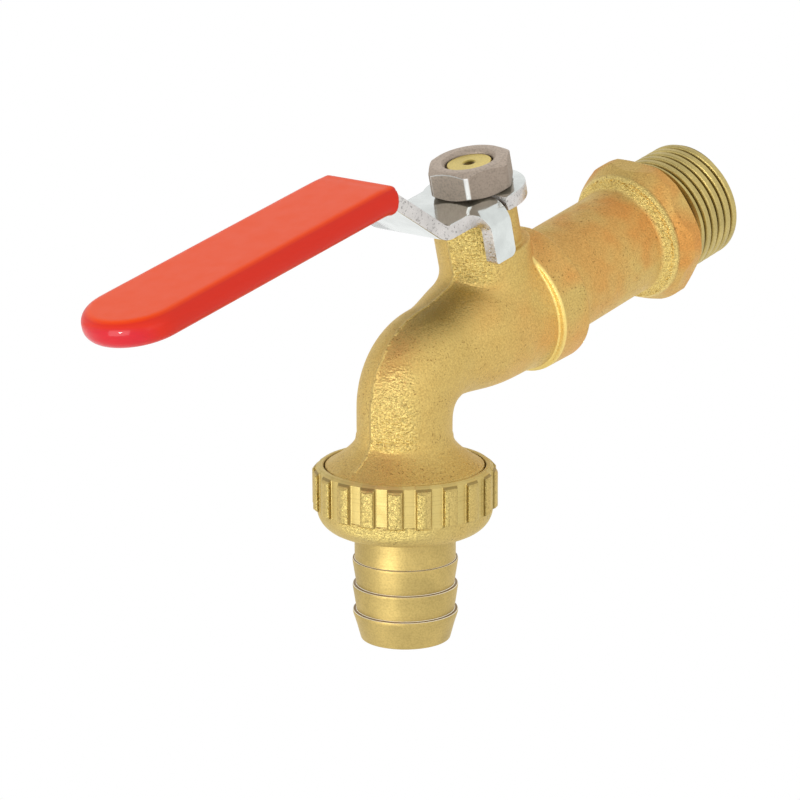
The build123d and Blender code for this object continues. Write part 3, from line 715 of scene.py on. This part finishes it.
def lever_blank():
    """Outline of the flat blank as two halves (across, along) that meet on the middle line."""
    hole_edge = sqrt(HOLE_R**2 - HOLE_FLAT**2)
    hole_angle = np.degrees(atan2(hole_edge, HOLE_FLAT))
    head_angle = np.degrees(atan2(sqrt(HEAD_R**2 - STRIP_HALF**2), STRIP_HALF))
    notch = TAB_BACK - TAB_NOTCH
    notch_angle = np.degrees(atan2(notch, sqrt(HEAD_R**2 - notch**2)))
    half_hole = arc((0, 0), HOLE_R, 90, hole_angle, 8) + arc((0, 0), HOLE_R, -hole_angle, -90, 8)
    tip = arc((0, blank_tip - STRIP_HALF), STRIP_HALF, 0, 90, 20)
    plain = half_hole + arc((0, 0), HEAD_R, -90, head_angle, 32) + tip
    tab = arc((tab_end - TAB_CORNER, TAB_BACK + TAB_CORNER), TAB_CORNER, -90, 0, 7)
    tab += arc((tab_end - TAB_TOE, TAB_FRONT - TAB_TOE), TAB_TOE, 0, 90, 4)
    root = arc((STRIP_HALF + ROOT_R, TAB_FRONT + ROOT_R), ROOT_R, 270, 180, 9)
    notched = half_hole + arc((0, 0), HEAD_R, -90, notch_angle, 26)
    notched += [(fold_x, notch), (fold_x, TAB_BACK)] + tab + root + tip
    return [(-x, s) for x, s in plain], notched


def bent(points):
    """Places blank points (across, along, up) on the bent lever."""
    across, along, up = points.T.copy()
    fade = np.clip((TAB_FRONT + ROOT_FADE - along) / ROOT_FADE, 0.01, 1)
    in_tab = (across > fold_x) & (along > TAB_BACK - TAB_NOTCH / 2) & (fade > 0.01)
    curl = fold_r / (fade * fade * (3 - 2 * fade))
    past = np.maximum(across - fold_x - fold_r * pi / 2, 0)
    turned_by = np.clip(across - fold_x, 0, fold_r * pi / 2) / curl
    across = np.where(in_tab, fold_x + (curl + up) * np.sin(turned_by), across)
    up = np.where(in_tab, (curl + up) * np.cos(turned_by) - curl - past, up)
    flat, first, rising, second = stations
    bend_up = np.clip(along - flat, 0, bend_r * slope) / bend_r
    bend_back = np.clip(along - rising, 0, bend_r * slope) / bend_r
    climb = np.clip(along - first, 0, rising - first)
    rise = bend_up - bend_back
    level = np.clip(along, None, flat) + bend_r * np.sin(bend_up) + climb * cos(slope)
    level = level + bend_r * (sin(slope) - np.sin(slope - bend_back)) + np.maximum(along - second, 0)
    height = bend_r * (1 - np.cos(bend_up)) + climb * sin(slope)
    height = height + bend_r * (np.cos(slope - bend_back) - cos(slope))
    return np.stack([
        across, stem_y - level + up * np.sin(rise), plate_z + height + up * np.cos(rise),
    ], 1)


halves = lever_blank()
corners = sorted({(round(x, 5), round(s, 5)) for half in halves for x, s in half})
index = {corner: number for number, corner in enumerate(corners)}
loops = []
for half in halves:
    loop = [index[(round(x, 5), round(s, 5))] for x, s in half]
    loop = [here for here, after in zip(loop, loop[1:] + loop[:1]) if here != after]
    xy = np.array([corners[i] for i in loop])
    area = (xy[:, 0] * np.roll(xy[:, 1], -1) - np.roll(xy[:, 0], -1) * xy[:, 1]).sum()
    loops.append(loop if area > 0 else loop[::-1])
pairs = [pair for loop in loops for pair in zip(loop, loop[1:] + loop[:1])]
rim = [(a, b) for a, b in pairs if (b, a) not in pairs]
count = len(corners)
points = [(x, s, -plate_half) for x, s in corners] + [(x, s, plate_half) for x, s in corners]
faces = [loop[::-1] for loop in loops] + [[i + count for i in loop] for loop in loops]
faces += [[a, b, b + count, a + count] for a, b in rim]
lever = placed("lever_strip", points, faces)
sheet = bmesh.new()
sheet.from_mesh(lever.data)
edges = [e for e in sheet.edges if len(e.link_faces) == 2 and e.calc_face_angle() > 1.4]
bmesh.ops.bevel(sheet, geom=edges, offset=BLANK_EDGE * MM, segments=2, affect="EDGES", profile=0.5)
bend_lines = [*np.linspace(*stations[:2], 9), *np.linspace(*stations[2:], 9)]
cuts = [((0, s, 0), (0, 1, 0)) for s in bend_lines]
cuts += [((x, 0, 0), (1, 0, 0)) for x in fold_x + np.linspace(0, fold_r * pi / 2, 10)]
cuts += [((0, s, 0), (0, 1, 0)) for s in TAB_FRONT + np.linspace(0, ROOT_FADE, 8)]
for place, normal in cuts:
    geometry = sheet.verts[:] + sheet.edges[:] + sheet.faces[:]
    bmesh.ops.bisect_plane(sheet, geom=geometry, dist=1e-7, plane_co=Vector(place) * MM, plane_no=normal)
sheared = [abs(f.normal.z) < 0.5 for f in sheet.faces]
for face, is_edge in zip(sheet.faces, sheared):
    face.material_index = int(is_edge)
flat_points = np.array([v.co for v in sheet.verts]) / MM
for vertex, point in zip(sheet.verts, bent(flat_points)):
    vertex.co = Vector(point) * MM
bmesh.ops.recalc_face_normals(sheet, faces=sheet.faces[:])
sheet.to_mesh(lever.data)
sheet.free()
lever.data.shade_smooth()
lever.data.set_sharp_from_angle(angle=radians(30))


def plated_steel(name, colour, rough, wave, grain, depth, specks=0.0):
    """Zinc plated steel, mirror like on the sheet faces and torn grainy on the sheared edges."""
    material, tree, shader = new_finish(name)
    place = piece_place(tree)
    cloud = between(tree, mottle(tree, place, 4.0, 3.0), 0.4, 0.65)
    tint = mixed(tree, cloud, colour, darker(colour, 0.86))
    torn = between(tree, mottle(tree, place, 0.45, 3.0), 0.58, 0.66, 0.0, specks)
    tint = mixed(tree, torn, tint, hue(74, 70, 66))
    tree.links.new(tint, shader.inputs["Base Color"])
    shader.inputs["Metallic"].default_value = 1.0
    haze = between(tree, mottle(tree, place, 1.2, 3.0), 0.3, 0.7, *rough)
    tree.links.new(haze, shader.inputs["Roughness"])
    dents, grains = mottle(tree, place, 7.0), mottle(tree, place, grain, 3.0)
    relief(tree, shader, (dents, wave, 0.3), (grains, 0.6, depth))
    return material


zinc_plate = plated_steel("zinc_plate", hue(226, 231, 228), (0.1, 0.17), 0.03, 0.6, 0.01)
zinc_sheared = plated_steel("zinc_sheared", hue(222, 218, 214), (0.25, 0.45), 0.2, 0.32, 0.2, 0.5)
lever.data.materials.append(zinc_plate)
lever.data.materials.append(zinc_sheared)
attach(lever, "handle")
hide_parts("lever")

# Sleeve: the handle end is dipped in red vinyl, which sets with soft round edges and is
# glossier round the tip; its tip is painted deeper red as a dark reflection and its top more orange as a
# reflection of light. Its open end swells a little and leans, near the upper bend.
SLEEVE_WALL, SLEEVE_START, SLEEVE_LEAN, SLEEVE_LIP = 1.0, 25.0, 0.35, 0.12
SLEEVE_EDGE, SLEEVE_FIT = 0.3, 0.02
# The aim at the end of the next line is the facing painted deep red at the tip, as a dark reflection.
SLEEVE_ROUND, SLEEVE_STEP, CREST_SOFT, TIP_REFLECTION_AIM = 1.95, 0.34, 0.62, (0.3, -0.94, -0.15)
sleeve_half = plate_half + SLEEVE_WALL
sleeve_width = STRIP_HALF + SLEEVE_WALL
sleeve_tip = stem_y - LEVER_TIP - SLEEVE_WALL
grip_z = plate_z + RISER_HEIGHT
crest_y = stem_y - RISER_REACH - RISER_RUN


def off_strip(y, z):
    """Distance above the middle of the strip near its upper bend."""
    bend = (y - crest_y) / CREST_SOFT
    drop = tan(slope) * CREST_SOFT * np.logaddexp(0, bend)
    fall = tan(slope) / (1 + np.exp(-np.clip(bend, -40, 40)))
    return (z - grip_z + drop) / np.sqrt(1 + fall**2)


def dipped(x, y, z):
    """Distance field of the sleeve, hollow where the strip lies in it."""
    up = off_strip(y, z)
    centre = sleeve_tip + sleeve_width
    plan = np.where(y < centre, np.hypot(x, y - centre), np.abs(x)) - sleeve_width
    flat = np.abs(up) - sleeve_half
    side, face = plan + SLEEVE_ROUND, flat + SLEEVE_ROUND
    shell = np.minimum(np.maximum(side, face), 0) - SLEEVE_ROUND
    shell = shell + np.hypot(np.maximum(side, 0), np.maximum(face, 0))
    mouth = y - stem_y + SLEEVE_START - SLEEVE_LEAN * (z - grip_z)
    shell = trimmed(shell - SLEEVE_LIP * np.exp(-(mouth**2)), mouth, SLEEVE_EDGE)
    hollow = np.maximum(np.abs(up) - plate_half - SLEEVE_FIT, plan + SLEEVE_WALL - SLEEVE_FIT)
    return np.maximum(shell, -hollow)


def dipped_vinyl(name, side, top, tip):
    """Dipped vinyl, painted more orange on its flat top as a reflection of light, painted deeper red at the
    tip as a dark reflection, with a faint orange peel skin.
    """
    material, tree, shader = new_finish(name)
    place = piece_place(tree)
    upward = axes_of(tree, facing_of(tree))["Z"]
    # Painted reflection: faces turned upward are painted more orange.
    tint = mixed(tree, between(tree, upward, 0.8, 0.99), side, top)
    # Painted dark reflection: faces towards the aim at the tip are painted deep red and given more coat.
    tip_reflection = vector(tree, "DOT_PRODUCT", facing_of(tree), TIP_REFLECTION_AIM)
    tip_reflection = between(tree, tip_reflection, 0.6, 0.85)
    tree.links.new(mixed(tree, tip_reflection, tint, tip), shader.inputs["Base Color"])
    tree.links.new(worked(tree, "MULTIPLY_ADD", tip_reflection, 0.6, 0.12), shader.inputs["Coat Weight"])
    haze = between(tree, mottle(tree, place, 3.0), 0.3, 0.7, 0.3, 0.4)
    tree.links.new(haze, shader.inputs["Roughness"])
    shader.inputs["Specular IOR Level"].default_value = 0.12
    shader.inputs["Coat Roughness"].default_value = 0.05
    relief(tree, shader, (mottle(tree, place, 4.0), 0.12, 0.15), (mottle(tree, place, 0.8), 0.05, 0.03))
    return material


sleeve_low, sleeve_high = (np.array(corner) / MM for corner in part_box("lever_sleeve"))
sleeve = placed("lever_sleeve_skin", *skinned(dipped, sleeve_low - 0.3, sleeve_high + 0.3, SLEEVE_STEP))
# Side red, a more orange top painted as a reflection, and a deep red tip painted as a dark reflection.
red_vinyl = dipped_vinyl("red_vinyl", hue(208, 44, 26), hue(240, 75, 4), hue(198, 6, 26))
sleeve.data.materials.append(red_vinyl)
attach(sleeve, "handle")
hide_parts("lever_sleeve")

# Lever nut: a plain hexagon nut, chamfered at both ends, dull from phosphating.
# It clamps the lever on the flats of the stem.
NUT_FLATS, NUT_HEIGHT, NUT_TURN, NUT_BORE_R = 12.9, 5.0, 7.0, 4.0
NUT_MOUTH, NUT_EDGE, NUT_CORNER_CUT = 0.6, 0.18, 0.22
NUT_CROWN_INSET, NUT_CROWN, NUT_COLUMNS = 0.3, 0.02, 240
nut_corner = NUT_FLATS / sqrt(3) - NUT_CORNER_CUT
nut_rim = NUT_FLATS / 2 - HEX_RIM_INSET
nut_drop = (nut_corner - nut_rim) * chamfer_slope
nut_top = plate_top + NUT_HEIGHT
nut_outline = [(NUT_BORE_R, 0), (nut_rim, 0)] + run((nut_rim, 0), (nut_corner, nut_drop), 10)[1:]
nut_outline += run((nut_corner, nut_drop), (nut_corner, NUT_HEIGHT - nut_drop), 10)
nut_outline += run((nut_corner, NUT_HEIGHT - nut_drop), (nut_rim, NUT_HEIGHT), 14)
nut_outline += [(nut_rim, NUT_HEIGHT), (nut_rim - NUT_CROWN_INSET, NUT_HEIGHT + NUT_CROWN)]
nut_outline += [(NUT_BORE_R + NUT_MOUTH, NUT_HEIGHT), (NUT_BORE_R, NUT_HEIGHT - NUT_MOUTH)]


def phosphated_steel(name, side, top, glint_colour, lit_side_aim):
    """Dull phosphated steel, with its top and the side towards a lamp painted paler, and painted glints on
    the corner and chamfer edge on that side.
    """
    material, tree, shader = new_finish(name)
    place = piece_place(tree)
    upward = axes_of(tree, facing_of(tree))["Z"]
    facing = vector(tree, "DOT_PRODUCT", facing_of(tree), lit_side_aim)
    height = worked(tree, "SUBTRACT", axes_of(tree, place)["Z"], nut_top)
    reach = off_axis(tree, place, (0, stem_y, 0), (0, 0, 1))
    # Painted glint along the chamfer's lower edge and the corners, on the side towards the aim.
    chamfer = worked(tree, "MULTIPLY_ADD", height, -1 / chamfer_slope, nut_rim)
    below = between(tree, worked(tree, "SUBTRACT", chamfer, reach), 0.15, 0.45, 1.0, 0.0)
    below = worked(tree, "MULTIPLY", below, between(tree, upward, 0.3, 0.6, 1.0, 0.0))
    corner = between(tree, reach, nut_corner - 0.03, nut_corner - 0.005)
    edges = worked(tree, "MAXIMUM", below, corner)
    painted_glint = worked(tree, "MULTIPLY", edges, between(tree, facing, 0.8, 0.92))
    # Painted light: the side towards the aim and the top are painted in the paler top colour.
    tint = mixed(tree, between(tree, facing, 0.7, 0.95), side, top)
    tint = mixed(tree, between(tree, upward, 0.5, 0.95), tint, top)
    dull = between(tree, mottle(tree, place, 0.35, 3.0), 0.45, 0.7, 0.0, 0.3)
    tint = mixed(tree, dull, tint, hue(96, 86, 78))
    tree.links.new(mixed(tree, painted_glint, tint, glint_colour), shader.inputs["Base Color"])
    shader.inputs["Metallic"].default_value = 1.0
    tree.links.new(between(tree, painted_glint, 0.0, 1.0, 0.62, 0.35), shader.inputs["Roughness"])
    relief(tree, shader, (mottle(tree, place, 0.4, 3.0), 0.5, 0.05))
    return material


lever_nut = turned("lever_nut_skin", eased(nut_outline, NUT_EDGE), NUT_COLUMNS, (NUT_FLATS, NUT_TURN), 28)
lever_nut.data.transform(axes_frame((0, stem_y, plate_top), (0, 0, 1)))
# Side colour, a paler top colour painted as light, the painted glint colour and the aim of the lit side.
nut_steel = phosphated_steel(
    "nut_steel", hue(170, 156, 142), hue(208, 193, 178), hue(244, 243, 240), (0.34, -0.94, 0)
)
lever_nut.data.materials.append(nut_steel)
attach(lever_nut, "handle")
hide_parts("lever_nut")

# Hose tail: turned from brass bar, with a flange under the gasket and three barbs for the hose.
# The union nut's lip holds it up by the flange.
TAIL_BORE_R, TAIL_FLANGE_R, TAIL_NECK_R = 6.4, 11.97, 8.3
GASKET_LOW, TAIL_FLANGE_LOW = 23.6, 25.0
BARB_COUNT, BARB_R, BARB_ROOT_R, BARB_FIRST, BARB_PITCH, BARB_LAND = 3, 8.65, 8.05, 31.3, 4.37, 0.5
TAIL_END, TAIL_TIP_R, TAIL_TAPER, TAIL_EDGE, TAIL_COLUMNS = 45.0, 7.35, 2.6, 0.22, 192
tail_outline = [(TAIL_BORE_R, GASKET_LOW), (TAIL_FLANGE_R, GASKET_LOW), (TAIL_FLANGE_R, TAIL_FLANGE_LOW)]
tail_outline += [(TAIL_NECK_R, TAIL_FLANGE_LOW), (TAIL_NECK_R, BARB_FIRST)]
for barb in range(BARB_COUNT):
    edge = BARB_FIRST + barb * BARB_PITCH
    tail_outline += [(BARB_R, edge), (BARB_R, edge + BARB_LAND), (BARB_ROOT_R, edge + BARB_PITCH)]
tail_outline[-1] = (BARB_ROOT_R, TAIL_END - TAIL_TAPER)
tail_outline += [(TAIL_TIP_R, TAIL_END), (TAIL_BORE_R, TAIL_END)]
spout_frame = axes_frame((0, spout_y, 0), spout_down)
tail_piece = turned("hose_tail_skin", eased(tail_outline, TAIL_EDGE), TAIL_COLUMNS)
tail_piece.data.transform(spout_frame)
# Tail brass with painted shade on the barbs' ledges and a painted highlight on their edges.
tail_brass = turned_brass(
    "tail_brass", hue(208, 183, 114), spout_down, 0.025, (0.44, 0.56), ledge_shade=hue(140, 118, 92)
)
tail_piece.data.materials.append(tail_brass)
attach(tail_piece, "tail")
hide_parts("hose_tail")

# Union nut: cast brass with finger ribs, blasted on the ribs and the foot and turned between them.
# It turns on the hose tail and its thread draws the flange and gasket up to the spout.
NUT_R, NUT_RISE, NUT_LOW, NUT_FOOT_R, NUT_CLEAR = 14.4, 0.7, 26.4, 11.2, 0.05
NUT_RIM_EDGE, NUT_RIM_CHAMFER, NUT_FOOT_CURVE = 0.5, 0.15, 0.6
RIB_COUNT, RIB_HEIGHT, RIB_SHARE, RIB_DROP, RIB_LENGTH, RIB_PHASE = 20, 0.8, 0.52, 0.3, 6.8, 16.6
UNION_COLUMNS, LIP_R, FLANGE_ROOM, SCORE_SIZE = 720, 8.95, 0.3, 0.35
FLANK_LOW, FLANK_HIGH = NUT_R + 0.06, NUT_R + 0.5
nut_start = FLARE_END - NUT_RISE
rib_start = nut_start + RIB_DROP
rib_end = rib_start + RIB_LENGTH
thread_r = STUB_R + NUT_CLEAR
union_outline = [(thread_r, STUB_END + FLANGE_ROOM), (thread_r, nut_start + NUT_RIM_CHAMFER)]
union_outline += [(thread_r + NUT_RIM_CHAMFER, nut_start), (NUT_R - NUT_RIM_EDGE, nut_start)]
union_outline += run((NUT_R, nut_start + NUT_RIM_EDGE), (NUT_R, rib_end), 56)
union_outline += [
    (NUT_R - (NUT_R - NUT_FOOT_R) * (1 - (1 - s**2) ** NUT_FOOT_CURVE), rib_end + (NUT_LOW - rib_end) * s)
    for s in np.linspace(0, 1, 18)
]
union_outline += [
    (LIP_R, NUT_LOW), (LIP_R, TAIL_FLANGE_LOW),
    (TAIL_FLANGE_R + FLANGE_ROOM, TAIL_FLANGE_LOW), (TAIL_FLANGE_R + FLANGE_ROOM, STUB_END + FLANGE_ROOM),
]


def finger_ribs(tree, given, angle, height, radius):
    """Ribs with soft flanks, cut at the top by the turned rim and sloped at the foot."""
    turns = worked(tree, "DIVIDE", worked(tree, "SUBTRACT", angle, given["Phase"]), 2 * pi)
    cell = worked(tree, "FRACT", worked(tree, "ADD", worked(tree, "MULTIPLY", turns, given["Count"]), 100.5))
    off_middle = worked(tree, "MULTIPLY", worked(tree, "ABSOLUTE", worked(tree, "SUBTRACT", cell, 0.5)), 2.0)
    flank_in = worked(tree, "SUBTRACT", given["Share"], 0.03)
    flank_out = worked(tree, "ADD", given["Share"], 0.07)
    rib = between(tree, off_middle, flank_in, flank_out, 1.0, 0.0)
    crown = worked(tree, "POWER", worked(tree, "DIVIDE", off_middle, given["Share"]), 2.0)
    crown = worked(tree, "MULTIPLY_ADD", crown, -0.3, 1.0)
    lift = worked(tree, "MULTIPLY", worked(tree, "MULTIPLY", rib, crown), given["Height"])
    top = worked(tree, "MULTIPLY", worked(tree, "SUBTRACT", height, given["Start"]), 0.9)
    foot = worked(tree, "MULTIPLY", worked(tree, "SUBTRACT", given["End"], height), 2.5)
    limit = worked(tree, "MAXIMUM", worked(tree, "MINIMUM", top, foot), 0.0)
    wall = worked(tree, "GREATER_THAN", radius, given["Wall"])
    return worked(tree, "MULTIPLY", worked(tree, "MINIMUM", lift, limit), wall)


def rib_marks(tree, skin):
    """Turned and scored between the ribs, with painted shade along their flanks, blasted on the ribs and the
    foot.
    """
    place, dark = skin["place"], skin["dark"]
    offset = vector(tree, "SUBTRACT", place, (0, spout_y, 0))
    down = vector(tree, "DOT_PRODUCT", offset, tuple(spout_down))
    radius = off_axis(tree, place, (0, spout_y, 0), spout_down)
    on_foot = between(tree, down, rib_end - 0.4, rib_end + 0.2)
    grained = worked(tree, "MAXIMUM", between(tree, radius, FLANK_LOW, FLANK_HIGH), on_foot)
    scores = between(tree, tool_lines(tree, down, SCORE_SIZE, 2.0), 0.54, 0.64, 0.0, 0.14)
    tint = mixed(tree, grained, mixed(tree, scores, hue(214, 193, 124), dark), skin["tint"])
    # Painted shade: a dark line along each rib's flanks, above the foot.
    flank_shade = between(tree, radius, FLANK_HIGH - 0.1, FLANK_HIGH, 1.0, 0.0)
    flank_shade = worked(tree, "MINIMUM", between(tree, radius, FLANK_LOW, FLANK_LOW + 0.1), flank_shade)
    ribbed = between(tree, down, rib_end - 0.1, rib_end + 0.1, 0.65, 0.0)
    skin["tint"] = mixed(tree, worked(tree, "MULTIPLY", flank_shade, ribbed), tint, dark)
    smoother = worked(tree, "MULTIPLY_ADD", grained, 0.75, 0.25)
    skin["beads"] = worked(tree, "MULTIPLY", skin["beads"], smoother)
    skin["wrinkles"] = worked(tree, "MULTIPLY", skin["wrinkles"], grained)


# Cast brass with the painted front highlight and painted shade along the rib flanks.
cast_brass = blasted_brass(
    "cast_brass", hue(216, 193, 122), hue(220, 186, 112), -90.0, -40.0, front_highlight, rib_marks
)
union_nut = turned("union_nut_skin", union_outline, UNION_COLUMNS)
rib_inputs = "Count", "Height", "Share", "Phase", "Start", "End", "Wall"
shaped(
    union_nut, radial_tree("finger_ribs", rib_inputs, finger_ribs), cast_brass,
    count=RIB_COUNT, height=RIB_HEIGHT * MM, share=RIB_SHARE, phase=radians(RIB_PHASE),
    start=rib_start * MM, end=rib_end * MM, wall=(NUT_R - 0.05) * MM,
)
union_nut.data.transform(spout_frame)
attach(union_nut, "union")
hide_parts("union_nut")

# Floor, light and camera: a white floor well below the tap, which is held up as on its pipe,
# an even white surround that is dimmer overhead, lamps in front and beside it, and the photograph's view.
FLOOR_R, FLOOR_DROP, FLOOR_SIDES = 6000.0, 200.0, 48
floor_z = cad_box[0][2] / MM - FLOOR_DROP
ring = np.linspace(0, 2 * pi, FLOOR_SIDES, endpoint=False)
rim_points = np.stack([FLOOR_R * np.cos(ring), FLOOR_R * np.sin(ring), np.full(FLOOR_SIDES, floor_z)], 1)
floor = placed("floor", rim_points, [range(FLOOR_SIDES)])
floor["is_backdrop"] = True
material, tree, shader = new_finish("white_floor")
rays = tree.nodes.new("ShaderNodeLightPath").outputs
seen = worked(tree, "MAXIMUM", rays["Is Camera Ray"], rays["Is Glossy Ray"])
seen = worked(tree, "MAXIMUM", seen, rays["Is Transmission Ray"])
shader.inputs["Base Color"].default_value = hue(238, 238, 238)
shader.inputs["Roughness"].default_value = 0.9
glow = joined(tree, "ShaderNodeEmission", (1, 1, 1, 1), 1.0)
surface = joined(tree, "ShaderNodeMixShader", seen, shader.outputs[0], glow)
tree.links.new(surface, tree.nodes["Material Output"].inputs["Surface"])
floor.data.materials.append(material)

DARK_CEILING = (-0.35, 0.05, 0.935)
world = bpy.data.worlds.new("studio")
world.use_nodes = True
bpy.context.scene.world = world
tree = world.node_tree
gaze = tree.nodes.new("ShaderNodeTexCoord").outputs["Generated"]
overhead = vector(tree, "DOT_PRODUCT", gaze, DARK_CEILING)
level = between(tree, overhead, 0.72, 0.97, 0.95, 0.5)
tree.links.new(level, tree.nodes["Background"].inputs["Strength"])
tree.nodes["Background"].inputs["Color"].default_value = (1, 1, 1, 1)


def soft_box(name, direction, distance, size, power, target=(0, -0.045, 0.0)):
    """A square studio lamp that faces the tap."""
    lamp = bpy.data.lights.new(name, "AREA")
    lamp.size = size
    lamp.energy = power
    lamp_object = bpy.data.objects.new(name, lamp)
    aim = Vector(direction).normalized()
    lamp_object.location = Vector(target) + aim * distance
    lamp_object.rotation_euler = aim.to_track_quat("Z", "Y").to_euler()
    bpy.context.scene.collection.objects.link(lamp_object)


soft_box("key", (0.1, -0.95, 0.2), 0.9, 0.65, 2.8)
soft_box("fill", (0.9, -0.25, 0.25), 1.0, 0.6, 0.8)
soft_box("sparkle", (0.15, -0.95, 0.25), 0.85, 0.06, 0.8)

CAMERA_PLACE = (0.36526, -0.40533, 0.21812)
CAMERA_RIGHT = (0.72513, 0.66771, -0.16830)
CAMERA_UP = (-0.16677, 0.40743, 0.89786)
CAMERA_BACK = (0.66810, -0.62301, 0.40680)
LENS_LENGTH, SENSOR_WIDTH = 152.071, 36.0
lens = bpy.data.cameras.new("camera")
lens.lens = LENS_LENGTH
lens.sensor_width = SENSOR_WIDTH
camera = bpy.data.objects.new("camera", lens)
camera.matrix_world = Matrix.LocRotScale(
    Vector(CAMERA_PLACE), Matrix((CAMERA_RIGHT, CAMERA_UP, CAMERA_BACK)).transposed(), None
)
bpy.context.scene.collection.objects.link(camera)
bpy.context.scene.camera = camera
bpy.context.scene.view_settings.view_transform = "Standard"

visual_box = [list(corner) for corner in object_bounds()]
